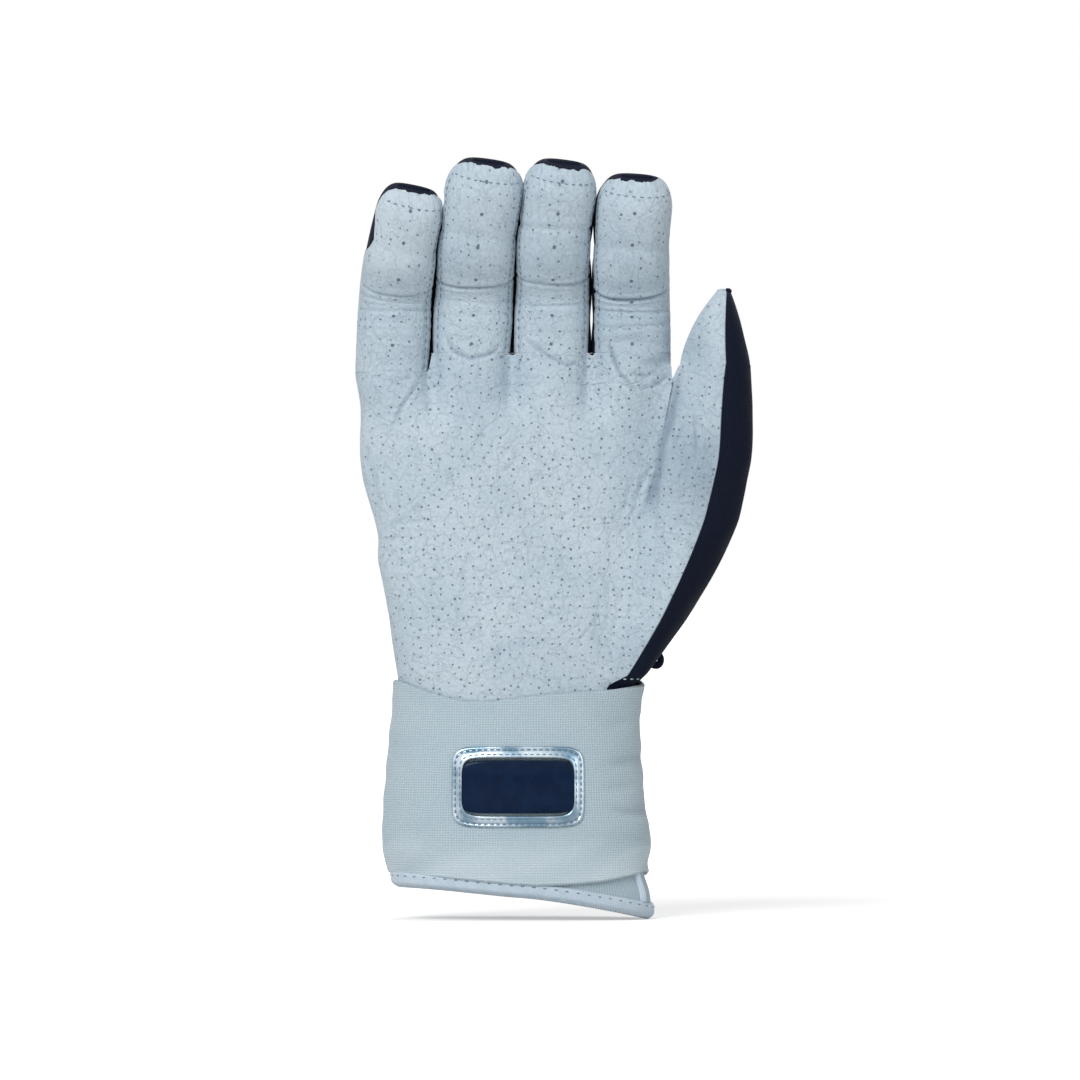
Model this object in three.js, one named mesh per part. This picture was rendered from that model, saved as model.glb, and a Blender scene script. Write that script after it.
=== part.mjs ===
// Right-hand batting glove in its relaxed curl: fingers up (+Z), palm facing -Y, thumb on the +X side.
// Millimetres. The origin is the centre of the wrist mouth, where the hand goes in.
import * as THREE from "three";

const { lerp, clamp, degToRad, smoothstep } = THREE.MathUtils;

// Sheet stock and the gap kept between sewn neighbours
const LEATHER = 1.0;
const STRETCH = 0.9;
const KNIT = 1.4;
const ELASTIC = 1.5;
const CLEAR = 0.3;

// Wrist cuff: a knit sleeve that widens towards its mouth
const CUFF_HEIGHT = 75;
const CUFF_TOP_WIDTH = 74;
const CUFF_TOP_DEPTH = 32;
const CUFF_MOUTH_WIDTH = 81;
const CUFF_MOUTH_DEPTH = 36;
const MOUTH_SLANT = 10;
const MOUTH_CURVE = 1.8;
const BINDING_HEIGHT = 5;
const BINDING_ROLL = 1.1;

// Wrist strap: an elastic band round the cuff that closes with hook and loop on the back
const STRAP_BOTTOM = 14;
const STRAP_TOP = 73;
const STRAP_START_DEG = -52;
const STRAP_HINGE_DEG = 232;
const STRAP_END_DEG = 302;
const STRAP_RAMP_DEG = 30;
const LOOP_THICKNESS = 1.0;
const LOOP_HEIGHT = 44;
const LOOP_SPAN_DEG = [243, 297];
const HOOK_THICKNESS = 1.0;
const HOOK_HEIGHT = 36;
const HOOK_SPAN_DEG = [248, 295];

// Badge on the front of the strap
const BADGE_CENTRE_Z = 41.5;
const BADGE_WIDTH = 41;
const BADGE_HEIGHT = 25;
const BADGE_THICKNESS = 0.9;
const BADGE_CORNER = 3;
const BADGE_PLATE_WIDTH = 35;
const BADGE_PLATE_HEIGHT = 17;
const BADGE_PLATE_THICKNESS = 0.8;
const BADGE_PLATE_CORNER = 1.5;

// Palm
const PALM_LENGTH = 101;
const PALM_DEPTH = 26;
const PALM_FLARE = 75;
const ROW_CENTRE_X = -1.6;
const PALM_SEAM_DEG = 16;
const KNUCKLE_RUN = 22;

// Fingers, from the little finger to the index: drop is how far its root lies below the highest root,
// base, middle and tip are the lengths of its three runs, taper is what its width loses on the way up,
// leans are the slopes of those runs towards the thumb in degrees, and gap is the space to the next finger
const FINGERS = [
  {
    name: "little", width: 22.5, depth: 19, drop: 6,
    base: 24, middle: 18, tip: 21.5, taper: 2.5, leans: [2, 8, 13], gap: 1.4,
  },
  {
    name: "ring", width: 24, depth: 20, drop: 0,
    base: 20, middle: 21.5, tip: 25, taper: 1.5, leans: [3, 3.5, 9], gap: 1.2,
  },
  {
    name: "middle", width: 23, depth: 20, drop: 0,
    base: 20, middle: 21, tip: 24.5, taper: 1.5, leans: [1.5, 1.5, 8], gap: 2,
  },
  {
    name: "index", width: 23.4, depth: 20, drop: 0,
    base: 18, middle: 20.5, tip: 22.8, taper: 1, leans: [-0.5, -0.5, 4.5], gap: 0,
  },
];
const BASE_TILT_DEG = 7;
const MIDDLE_TILT_DEG = 36;
const TIP_TILT_DEG = 22;
const TIP_WIDTH = 13.5;
const TIP_OPENING = 0.5;
const TIP_ROUND = 9;
const FRONT_SEAM_DEG = 25;
const BACK_SEAM_DEG = -35;
const OUTER_SEAM_DEG = -18;
const WEB_DEPTH = 3;

// Thumb: its base folds on a straight crease from the wrist to the crotch beside the index finger
const THUMB_WIDTH = 22.75;
const THUMB_DEPTH = 21;
const THUMB_GAP = 3;
const THUMB_TIP_LENGTH = 23;
const THUMB_TIP_WIDTH = 4;
const THUMB_TIP_SHIFT = 3.5;
const THUMB_TAPER = 1.8;
const THUMB_FORWARD = 7;
const THUMB_CROTCH_DROP = 4;
const THUMB_BULGE_HEIGHT = 72;
const THUMB_SEAM_DEG = 66;
const THUMB_WRAP_DEG = 25;
const CREASE_WRIST_X = 30;
const CREASE_FRONT = 14.5;
const CREASE_BACK = 12.5;
const CREASE_CROTCH_FRONT = 5;
const CREASE_CROTCH_BACK = -1;
const CREASE_REACH = 14;
const CREASE_OVERLAP = 6;

// Pull loop at the thumb side of the wrist
const LOOP_TAB_REACH = 4;
const LOOP_TAB_WIDTH = 6;
const LOOP_TAB_GAP = 1.2;
const LOOP_TAB_RISE = 3;
const LOOP_TAB_STANDOFF = 0.6;

// Section shapes: exponents of the rounded outlines
const FINGER_SQUARE = 2.5;
const PALM_SQUARE = 2.6;
const CUFF_SQUARE = 2.4;

const PALM_BOTTOM = CUFF_HEIGHT + CLEAR;
const ROOT_Z = CUFF_HEIGHT + PALM_LENGTH;
const CROTCH_Z = ROOT_Z - THUMB_CROTCH_DROP;
const SEAM_GAP_DEG = 2.5;
const HINGE_GAP_DEG = 0.4;
const TIP_HALF_DEPTH = Math.max(LEATHER, STRETCH) + TIP_OPENING / 2;

const leather = new THREE.MeshStandardMaterial({ color: 0xb8c9d5, roughness: 0.65, metalness: 0 });
const navy = new THREE.MeshStandardMaterial({ color: 0x161c29, roughness: 0.6, metalness: 0 });
const knit = new THREE.MeshStandardMaterial({ color: 0xafc1c9, roughness: 0.9, metalness: 0 });
const binding = new THREE.MeshStandardMaterial({ color: 0xc6d7e5, roughness: 0.55, metalness: 0 });
const silver = new THREE.MeshStandardMaterial({ color: 0xa9c4d4, roughness: 0.25, metalness: 0.8 });
const gloss = new THREE.MeshStandardMaterial({ color: 0x0d233c, roughness: 0.15, metalness: 0 });
const pile = new THREE.MeshStandardMaterial({ color: 0x9aa9b1, roughness: 1, metalness: 0 });

// Solids

// A closed solid between two grids of points, one for each face of a sheet.
function slab(outer, inner) {
  const rows = outer.length;
  const columns = outer[0].length;
  const points = [outer, inner].flat(2).flatMap((p) => p.toArray());
  const at = (side, i, j) => (side * rows + i) * columns + j;
  const index = [];
  const quad = (a, b, c, d) => index.push(a, b, c, a, c, d);
  for (let i = 0; i + 1 < rows; i++) {
    for (let j = 0; j + 1 < columns; j++) {
      quad(at(0, i, j), at(0, i, j + 1), at(0, i + 1, j + 1), at(0, i + 1, j));
      quad(at(1, i, j), at(1, i + 1, j), at(1, i + 1, j + 1), at(1, i, j + 1));
    }
  }
  for (let j = 0; j + 1 < columns; j++) {
    quad(at(0, 0, j + 1), at(0, 0, j), at(1, 0, j), at(1, 0, j + 1));
    quad(at(0, rows - 1, j), at(0, rows - 1, j + 1), at(1, rows - 1, j + 1), at(1, rows - 1, j));
  }
  for (let i = 0; i + 1 < rows; i++) {
    quad(at(0, i, 0), at(0, i + 1, 0), at(1, i + 1, 0), at(1, i, 0));
    quad(at(0, i + 1, columns - 1), at(0, i, columns - 1), at(1, i, columns - 1), at(1, i + 1, columns - 1));
  }
  return solid(points, index);
}

// A closed ring lofted through equal rows of points, each row wrapping round on itself.
function ring(rows) {
  const columns = rows[0].length;
  const points = rows.flat().flatMap((p) => p.toArray());
  const at = (i, j) => (i % rows.length) * columns + (j % columns);
  const index = [];
  for (let i = 0; i < rows.length; i++) {
    for (let j = 0; j < columns; j++) {
      index.push(at(i, j), at(i, j + 1), at(i + 1, j + 1));
      index.push(at(i, j), at(i + 1, j + 1), at(i + 1, j));
    }
  }
  return solid(points, index);
}

// A geometry whose faces point out, whichever way round its points were listed.
function solid(points, index) {
  const p = (k) => new THREE.Vector3().fromArray(points, index[k] * 3);
  let volume = 0;
  for (let k = 0; k < index.length; k += 3) volume += p(k).dot(p(k + 1).cross(p(k + 2)));
  if (volume < 0) index.reverse();
  const geometry = new THREE.BufferGeometry();
  geometry.setAttribute("position", new THREE.Float32BufferAttribute(points, 3));
  geometry.setIndex(index);
  geometry.computeVertexNormals();
  return geometry;
}

const steps = (from, to, count) => Array.from({ length: count + 1 }, (_, k) => lerp(from, to, k / count));

// A sheet of even thickness: surface(u, v, inset) gives a point, inset below the outer face.
function sheet(surface, thickness, us, vs) {
  const face = (inset) => vs.map((v) => us.map((u) => surface(u, v, inset)));
  return slab(face(0), face(thickness));
}

// Height of a rounded outline above its middle line, at a share u of its half width.
const crown = (u, square) => Math.pow(Math.max(0, 1 - Math.pow(Math.abs(u), square)), 1 / square);
const signedPower = (value, power) => Math.sign(value) * Math.pow(Math.abs(value), power);

function part(name, geometry, material) {
  const mesh = new THREE.Mesh(geometry, material.clone());
  mesh.name = name;
  return mesh;
}

// A rigid group of pieces, with the axis it turns on where it has one.
function body(name, pieces, hinge) {
  const group = new THREE.Group();
  group.name = name;
  group.userData.hinge = hinge;
  group.add(...pieces);
  return group;
}

// Finger layout along the row of knuckles

const rowWidth = FINGERS.reduce((sum, f) => sum + f.width + f.gap, 0);
const ROW_LEFT = ROW_CENTRE_X - rowWidth / 2;
const ROW_RIGHT = ROW_LEFT + rowWidth;
FINGERS.reduce((x, f) => {
  f.x = x + f.width / 2;
  f.rootZ = ROOT_Z - f.drop;
  f.spine = fingerSpine(f);
  return x + f.width + f.gap;
}, ROW_LEFT);

function fingerSpine(f) {
  const points = [new THREE.Vector3(f.x, 0, f.rootZ)];
  const tilts = [BASE_TILT_DEG, MIDDLE_TILT_DEG, TIP_TILT_DEG];
  [f.base, f.middle, f.tip].forEach((length, k) => {
    const rise = length * Math.cos(degToRad(tilts[k]));
    const shift = rise * Math.tan(degToRad(f.leans[k]));
    const step = new THREE.Vector3(shift, -length * Math.sin(degToRad(tilts[k])), rise);
    points.push(points.at(-1).clone().add(step));
  });
  return new THREE.CatmullRomCurve3(points, false, "catmullrom", 0.5);
}

const KNUCKLE = 1 / 3;
const FLEX_AXIS = new THREE.Vector3(1, 0, 0);

// Half width and half depth of a finger at a share u of its spine, rounding off to the tip seam.
function fingerSize(f, u) {
  const start = 1 - TIP_ROUND / (f.tip * 3);
  const end = clamp((u - start) / (1 - start), 0, 1);
  return {
    a: lerp(TIP_WIDTH / 2, (f.width - f.taper * u) / 2, crown(end, 2)),
    b: lerp(TIP_HALF_DEPTH, f.depth / 2, crown(end, 2)),
  };
}

// The finger's local frame: across points to the thumb side, front to the palm side. The root is level.
function fingerFrame(f, u) {
  const along = f.spine.getTangent(u).lerp(new THREE.Vector3(0, 0, 1), 1 - smoothstep(u, 0, KNUCKLE / 2));
  along.normalize();
  const across = new THREE.Vector3(1, 0, 0).addScaledVector(along, -along.x).normalize();
  return { centre: f.spine.getPoint(u), across, front: across.clone().cross(along) };
}

// A point on a finger, at an angle from its thumb side round by its front.
function fingerPoint(f, angle, u, inset) {
  const { centre, across, front } = fingerFrame(f, u);
  const { a, b } = fingerSize(f, u);
  const power = 2 / FINGER_SQUARE;
  return centre
    .addScaledVector(across, (a - inset) * signedPower(Math.cos(angle), power))
    .addScaledVector(front, (b - inset) * signedPower(Math.sin(angle), power));
}

function fingerPanel(f, thickness, fromDeg, toDeg, columns, rows) {
  const angles = steps(degToRad(fromDeg), degToRad(toDeg), columns);
  return sheet((angle, u, inset) => fingerPoint(f, angle, u, inset), thickness, angles, rows);
}

// One finger: a base run and a tip run, each with its leather front, stretch back and gusset sides.
function finger(f, hasLeftGusset, hasRightGusset) {
  const rightFront = hasRightGusset ? FRONT_SEAM_DEG : OUTER_SEAM_DEG;
  const leftFront = 180 - (hasLeftGusset ? FRONT_SEAM_DEG : OUTER_SEAM_DEG);
  const rightBack = hasRightGusset ? BACK_SEAM_DEG : OUTER_SEAM_DEG - SEAM_GAP_DEG;
  const leftBack = 180 - (hasLeftGusset ? BACK_SEAM_DEG : OUTER_SEAM_DEG - SEAM_GAP_DEG);
  const gap = CLEAR / f.base * KNUCKLE;
  const runs = {
    base: steps(gap, KNUCKLE - gap / 2, 3),
    tip: [...steps(KNUCKLE + gap / 2, 0.84, 4), 0.91, 0.96, 1],
  };
  return Object.entries(runs).map(([run, rows]) => {
    const label = (kind) => `${f.name}_${kind}_${run}`;
    const pieces = [
      part(label("front"), fingerPanel(f, LEATHER, rightFront, leftFront, 8, rows), leather),
      part(label("back"), fingerPanel(f, STRETCH, leftBack, 360 + rightBack, 6, rows), navy),
    ];
    const gusset = [BACK_SEAM_DEG + SEAM_GAP_DEG, FRONT_SEAM_DEG - SEAM_GAP_DEG];
    if (hasRightGusset) {
      const right = fingerPanel(f, STRETCH, ...gusset, 3, rows);
      pieces.push(part(label("gusset_right"), right, navy));
    }
    if (hasLeftGusset) {
      const left = fingerPanel(f, STRETCH, 180 - gusset[1], 180 - gusset[0], 3, rows);
      pieces.push(part(label("gusset_left"), left, navy));
    }
    const u = run === "base" ? 0 : KNUCKLE;
    return body(`${f.name}_${run}`, pieces, { pivot: fingerPoint(f, Math.PI / 2, u, 0), axis: FLEX_AXIS });
  });
}

// Palm and thumb base: level slices that share a straight crease

const crotchShare = (z) => clamp((z - PALM_BOTTOM) / (CROTCH_Z - PALM_BOTTOM), 0, 1);
const CROTCH_X = ROW_RIGHT + THUMB_GAP / 2;
const creaseX = (z) => lerp(CREASE_WRIST_X, CROTCH_X, (z - PALM_BOTTOM) / (CROTCH_Z - PALM_BOTTOM));

// How far the palm's slice runs past the crease into the thumb's, and the thumb's into the palm's.
function creaseOverlap(z) {
  const share = crotchShare(z);
  const ends = lerp(CUFF_TOP_WIDTH / 2 - CREASE_WRIST_X, -THUMB_GAP / 2, share);
  return ends + CREASE_OVERLAP * Math.sin(Math.PI * share);
}

function creaseHeight(z, side) {
  const [wrist, crotch] = side < 0 ? [CREASE_FRONT, CREASE_CROTCH_FRONT] : [CREASE_BACK, CREASE_CROTCH_BACK];
  return lerp(wrist, crotch, crotchShare(z));
}

// Draws a height down to the crease near it, so that the palm and the thumb meet along one line.
function meetCrease(height, x, z, side, inset) {
  const near = 1 - smoothstep(Math.abs(x - creaseX(z)), 0, CREASE_REACH);
  const below = 1 - smoothstep(z, CROTCH_Z - 1, ROOT_Z - 1);
  return lerp(height, creaseHeight(z, side) - inset, near * below);
}

function palmSlice(z) {
  const left = lerp(-CUFF_TOP_WIDTH / 2, ROW_LEFT, smoothstep(z, PALM_BOTTOM, PALM_BOTTOM + PALM_FLARE));
  const right = z < CROTCH_Z ? creaseX(z) + creaseOverlap(z) : ROW_RIGHT;
  const up = (z - PALM_BOTTOM) / (ROOT_Z - PALM_BOTTOM);
  const fingerDepth = Math.max(...FINGERS.map((f) => f.depth));
  const depth =
    up < 0.5
      ? lerp(CUFF_TOP_DEPTH, PALM_DEPTH, smoothstep(up, 0, 0.5))
      : lerp(PALM_DEPTH, fingerDepth, smoothstep(up, 0.5, 1));
  return { middle: (left + right) / 2, half: (right - left) / 2, rise: depth / 2 };
}

// Height of the knuckle row at the roots: the arc of each finger, and the web's edge between two arcs.
function knuckleHeight(x, seamDeg) {
  const web = Math.pow(Math.sin(degToRad(seamDeg)), 2 / FINGER_SQUARE);
  const arc = (f) => (f.depth / 2) * Math.max(web, crown((x - f.x) / (f.width / 2), FINGER_SQUARE));
  return Math.max(...FINGERS.map(arc));
}

// A point of the palm's outline: angle 0 is the little finger's edge, positive angles run over the front.
function palmPoint(angle, z, inset) {
  const { middle, half, rise } = palmSlice(z);
  const side = angle < 0 ? 1 : -1;
  const u = -Math.cos(angle);
  const x = middle + (half - inset) * u;
  const flat = crown(u, PALM_SQUARE) * (rise - inset);
  const seam = side < 0 ? FRONT_SEAM_DEG : -BACK_SEAM_DEG;
  const edge = smoothstep(Math.abs(Math.sin(angle)), 0, 0.35);
  const rooted = edge * smoothstep(z, ROOT_Z - KNUCKLE_RUN, ROOT_Z - WEB_DEPTH);
  const knuckles = lerp(flat, knuckleHeight(x, seam) - inset, rooted);
  return new THREE.Vector3(x, side * meetCrease(knuckles, x, z, side, inset), z);
}

// The angle at which the palm's outline reaches the crease, or its own far edge above the crotch.
function palmEnd(z, inset) {
  const { middle, half } = palmSlice(z);
  const reach = (middle - creaseX(z) + CLEAR / 2) / (half - inset);
  return Math.min(Math.acos(clamp(reach, -1, 1)), Math.PI - CLEAR / half);
}

// Columns across the palm, as shares of the way round to the far edge, that follow the finger roots.
function palmColumns() {
  const { middle, half } = palmSlice(ROOT_Z);
  const places = FINGERS.flatMap((f) => [-0.93, -0.5, 0, 0.5, 0.93].map((k) => f.x + (k * f.width) / 2));
  const shares = places.map((x) => ({ x, share: Math.acos(clamp((middle - x) / half, -1, 1)) / Math.PI }));
  return [...shares.slice(1, -1), { x: ROW_RIGHT, share: 1 }];
}

// The height at which the palm ends below the finger that stands at x.
function rootAt(x) {
  const owner = FINGERS.find((f) => x < f.x + f.width / 2 + f.gap / 2) ?? FINGERS.at(-1);
  return owner.rootZ;
}

const PALM_ROWS = [0, 0.15, 0.3, 0.45, 0.58, 0.7, 0.8, 0.88, 0.94, 1];

function palmPanel(thickness, wrapAngles, side) {
  const wrap = wrapAngles.map((angle) => ({ x: ROW_LEFT, angle }));
  const columns = [...wrap, ...palmColumns()];
  const surface = (column, v, inset) => {
    const z = lerp(PALM_BOTTOM, rootAt(column.x) - CLEAR, v);
    const angle = column.angle ?? side * column.share * palmEnd(z, inset);
    return palmPoint(angle, z, inset);
  };
  return sheet(surface, thickness, columns, PALM_ROWS);
}

// Gusset root between two fingers: a folded strip that joins their gussets at the crotch.
function fingerWeb(left, right) {
  const crotch = Math.min(left.rootZ, right.rootZ) - WEB_DEPTH;
  const x0 = left.x + left.width / 2;
  const x1 = right.x - right.width / 2;
  const outline = new THREE.Shape();
  outline.moveTo(x0 - STRETCH, crotch - STRETCH);
  outline.lineTo(x1 + STRETCH, crotch - STRETCH);
  outline.lineTo(x1 + STRETCH, right.rootZ - CLEAR);
  outline.lineTo(x1, right.rootZ - CLEAR);
  outline.lineTo(x1, crotch);
  outline.lineTo(x0, crotch);
  outline.lineTo(x0, left.rootZ - CLEAR);
  outline.lineTo(x0 - STRETCH, left.rootZ - CLEAR);
  const share = (deg) => Math.pow(Math.sin(degToRad(deg)), 2 / FINGER_SQUARE);
  const rise = Math.min(left.depth, right.depth) / 2;
  const front = rise * share(FRONT_SEAM_DEG) - LEATHER - CLEAR;
  const back = rise * share(-BACK_SEAM_DEG) - STRETCH - CLEAR;
  const strip = new THREE.ExtrudeGeometry(outline, { depth: front + back, bevelEnabled: false });
  return strip.rotateX(Math.PI / 2).translate(0, back, 0);
}

function thumbSlice(z) {
  const share = crotchShare(z);
  const climb = clamp((z - PALM_BOTTOM) / THUMB_BULGE_HEIGHT, 0, 1);
  const far = CROTCH_X + THUMB_GAP / 2 + THUMB_WIDTH;
  const right = lerp(CUFF_TOP_WIDTH / 2, far, Math.sin((climb * Math.PI) / 2));
  const left = creaseX(z) - creaseOverlap(z);
  return {
    middle: (left + right) / 2,
    half: (right - left) / 2,
    rise: lerp(CUFF_TOP_DEPTH, THUMB_DEPTH, smoothstep(share, 0, 1)) / 2,
    forward: THUMB_FORWARD * Math.sin((share * Math.PI) / 2),
  };
}

// A point of the thumb's outline: angle 0 is its outer edge, positive angles run over the front.
function thumbPoint(angle, z, inset) {
  const { middle, half, rise, forward } = thumbSlice(z);
  const side = angle < 0 ? 1 : -1;
  const x = middle + (half - inset) * Math.cos(angle);
  const height = crown(Math.cos(angle), FINGER_SQUARE) * (rise - inset) - side * forward;
  return new THREE.Vector3(x, side * meetCrease(height, x, z, side, inset), z);
}

function thumbEnd(z, inset) {
  const { middle, half } = thumbSlice(z);
  const reach = (creaseX(z) + CLEAR / 2 - middle) / (half - inset);
  return Math.min(Math.acos(clamp(reach, -1, 1)), Math.PI - CLEAR / half);
}

function thumbBasePanel(thickness, side, fromDeg, columns) {
  const shares = steps(0, 1, columns);
  const surface = (share, z, inset) => {
    const end = side * thumbEnd(z, inset);
    return thumbPoint(lerp(degToRad(fromDeg), end, share), z, inset);
  };
  return sheet(surface, thickness, shares, steps(PALM_BOTTOM, CROTCH_Z - CLEAR, 10));
}

// A point of the closed thumb tip, at a share v of its height above the crotch.
function thumbTipPoint(angle, v, inset) {
  const { middle, half, rise, forward } = thumbSlice(CROTCH_Z);
  const taper = 1 - Math.pow(v, THUMB_TAPER);
  const a = lerp(THUMB_TIP_WIDTH / 2, half, taper) - inset;
  const b = lerp(TIP_HALF_DEPTH, rise, crown(v, 2)) - inset;
  const power = 2 / FINGER_SQUARE;
  return new THREE.Vector3(
    middle + THUMB_TIP_SHIFT * v * v + a * signedPower(Math.cos(angle), power),
    -forward - b * signedPower(Math.sin(angle), power),
    lerp(CROTCH_Z, CROTCH_Z + THUMB_TIP_LENGTH, v),
  );
}

function thumbTipPanel(thickness, fromDeg, toDeg, columns) {
  const angles = steps(degToRad(fromDeg), degToRad(toDeg), columns);
  return sheet(thumbTipPoint, thickness, angles, [0.006, 0.2, 0.4, 0.58, 0.74, 0.87, 0.95, 1]);
}

function pullLoop() {
  const z = PALM_BOTTOM + LOOP_TAB_RISE;
  const low = thumbSlice(z);
  const high = thumbSlice(z + LOOP_TAB_WIDTH);
  const slope = high.middle + high.half - low.middle - low.half;
  const outline = new THREE.Shape();
  const rise = LOOP_TAB_GAP / 2 + STRETCH;
  outline.moveTo(0, -rise);
  outline.lineTo(LOOP_TAB_REACH - rise, -rise);
  outline.absarc(LOOP_TAB_REACH - rise, 0, rise, -Math.PI / 2, Math.PI / 2, false);
  outline.lineTo(0, rise);
  outline.lineTo(0, rise - STRETCH);
  outline.lineTo(LOOP_TAB_REACH - rise, rise - STRETCH);
  outline.absarc(LOOP_TAB_REACH - rise, 0, rise - STRETCH, Math.PI / 2, -Math.PI / 2, true);
  outline.lineTo(0, STRETCH - rise);
  const options = { depth: LOOP_TAB_WIDTH, bevelEnabled: false, curveSegments: 5 };
  const tab = new THREE.ExtrudeGeometry(outline, options);
  tab.rotateY(Math.atan2(slope, LOOP_TAB_WIDTH));
  return tab.translate(low.middle + low.half + LOOP_TAB_STANDOFF, -low.forward, z);
}

// Cuff, strap and badge: rings round the wrist, angle 0 at the thumb side and 90 degrees at the front

// The cuff's mouth is level from the little finger's side to the middle, then drops to the thumb's side.
function mouthZ(angle) {
  const across = (1 + Math.cos(angle)) / 2;
  return BINDING_HEIGHT + MOUTH_SLANT * (1 - Math.pow(across, MOUTH_CURVE));
}

function cuffPoint(angle, z, offset) {
  const share = z / CUFF_HEIGHT;
  const a = lerp(CUFF_MOUTH_WIDTH, CUFF_TOP_WIDTH, share) / 2 + offset;
  const b = lerp(CUFF_MOUTH_DEPTH, CUFF_TOP_DEPTH, share) / 2 + offset;
  const power = 2 / CUFF_SQUARE;
  const x = a * signedPower(Math.cos(angle), power);
  return new THREE.Vector3(x, -b * signedPower(Math.sin(angle), power), z);
}

const TURN = Array.from({ length: 36 }, (_, k) => (k / 36) * 2 * Math.PI);

function cuffSleeve() {
  const row = (share, offset) =>
    TURN.map((angle) => cuffPoint(angle, lerp(mouthZ(angle), CUFF_HEIGHT, share), offset));
  return ring([row(0, 0), row(0.5, 0), row(1, 0), row(1, -KNIT), row(0.5, -KNIT), row(0, -KNIT)]);
}

// Folded binding that hangs from the cuff's lower edge, rounded at its foot.
function cuffBinding() {
  const inside = -KNIT - BINDING_ROLL;
  const profile = [[BINDING_ROLL, 0], [BINDING_ROLL, 0.55], [0, 1], [-KNIT, 1], [inside, 0.55], [inside, 0]];
  const row = ([offset, drop]) =>
    TURN.map((angle) => cuffPoint(angle, mouthZ(angle) - CLEAR - drop * (BINDING_HEIGHT - CLEAR), offset));
  return ring(profile.map(row));
}

const HOOK_LIFT = CLEAR + LOOP_THICKNESS + CLEAR;
const STACK = HOOK_LIFT + HOOK_THICKNESS + CLEAR;

// How far the strap's inner face stands off the cuff: close round the wrist, over the pads at the back.
function strapLift(angle) {
  const end = degToRad(STRAP_HINGE_DEG);
  return lerp(CLEAR, STACK, smoothstep(angle, end - degToRad(STRAP_RAMP_DEG), end));
}

function strapBand(fromDeg, toDeg, columns) {
  const surface = (angle, share, inset) => {
    const foot = Math.max(STRAP_BOTTOM, mouthZ(angle) + CLEAR);
    return cuffPoint(angle, lerp(foot, STRAP_TOP, share), strapLift(angle) + ELASTIC - inset);
  };
  const angles = steps(degToRad(fromDeg), degToRad(toDeg), columns);
  return sheet(surface, ELASTIC, angles, steps(0, 1, 3));
}

function closurePad(lift, thickness, height, [fromDeg, toDeg]) {
  const middle = (STRAP_BOTTOM + STRAP_TOP) / 2;
  const surface = (angle, z, inset) => cuffPoint(angle, z, lift + thickness - inset);
  const angles = steps(degToRad(fromDeg), degToRad(toDeg), 6);
  return sheet(surface, thickness, angles, [middle - height / 2, middle + height / 2]);
}

const BADGE_LIFT = CLEAR + ELASTIC + CLEAR;

// The height of the strap's front above the cuff's middle plane, raised by a further lift.
function frontY(x, z, lift) {
  const share = z / CUFF_HEIGHT;
  const a = lerp(CUFF_MOUTH_WIDTH, CUFF_TOP_WIDTH, share) / 2 + lift;
  const b = lerp(CUFF_MOUTH_DEPTH, CUFF_TOP_DEPTH, share) / 2 + lift;
  return -b * crown(x / a, CUFF_SQUARE);
}

// Rows of points across a plate with round corners, which lies at y(x, z).
function badgeGrid(width, height, corner, y) {
  const turns = steps(0, Math.PI / 2, 3);
  const short = (share) => corner * (1 - share);
  const lower = turns.map((turn) => ({ rise: short(Math.cos(turn)), inset: short(Math.sin(turn)) }));
  const upper = [...lower].reverse().map(({ rise, inset }) => ({ rise: height - rise, inset }));
  return [...lower, ...upper].map(({ rise, inset }) => {
    const z = BADGE_CENTRE_Z - height / 2 + rise;
    const half = width / 2 - inset;
    return steps(-half, half, 8).map((x) => new THREE.Vector3(x, y(x, z), z));
  });
}

function badgeBase() {
  const grid = (lift) => badgeGrid(BADGE_WIDTH, BADGE_HEIGHT, BADGE_CORNER, (x, z) => frontY(x, z, lift));
  return slab(grid(BADGE_LIFT + BADGE_THICKNESS), grid(BADGE_LIFT));
}

// The plate is curved behind, to sit on the badge, and flat in front.
function badgePlate() {
  const lift = BADGE_LIFT + BADGE_THICKNESS + CLEAR;
  const lowest = BADGE_CENTRE_Z - BADGE_PLATE_HEIGHT / 2;
  const face = frontY(0, lowest, lift) - BADGE_PLATE_THICKNESS;
  const grid = (y) => badgeGrid(BADGE_PLATE_WIDTH, BADGE_PLATE_HEIGHT, BADGE_PLATE_CORNER, y);
  return slab(grid(() => face), grid((x, z) => frontY(x, z, lift)));
}

// Assembly

const seamAngle = degToRad(PALM_SEAM_DEG);
const seamGap = degToRad(SEAM_GAP_DEG);
const hand = body("hand", [
  part("palm_panel", palmPanel(LEATHER, [-seamAngle, -seamAngle / 2, 0, seamAngle * 0.8], 1), leather),
  part("back_panel", palmPanel(STRETCH, [-seamAngle - seamGap], -1), navy),
  part("wrist_cuff", cuffSleeve(), knit),
  part("cuff_binding", cuffBinding(), binding),
  part("strap_band", strapBand(STRAP_START_DEG, STRAP_HINGE_DEG - HINGE_GAP_DEG, 34), knit),
  part("loop_pad", closurePad(CLEAR, LOOP_THICKNESS, LOOP_HEIGHT, LOOP_SPAN_DEG), pile),
  part("badge_base", badgeBase(), silver),
  part("badge_plate", badgePlate(), gloss),
]);
for (let k = 0; k + 1 < FINGERS.length; k++) {
  const [left, right] = [FINGERS[k], FINGERS[k + 1]];
  hand.add(part(`${left.name}_${right.name}_web`, fingerWeb(left, right), navy));
}

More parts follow.
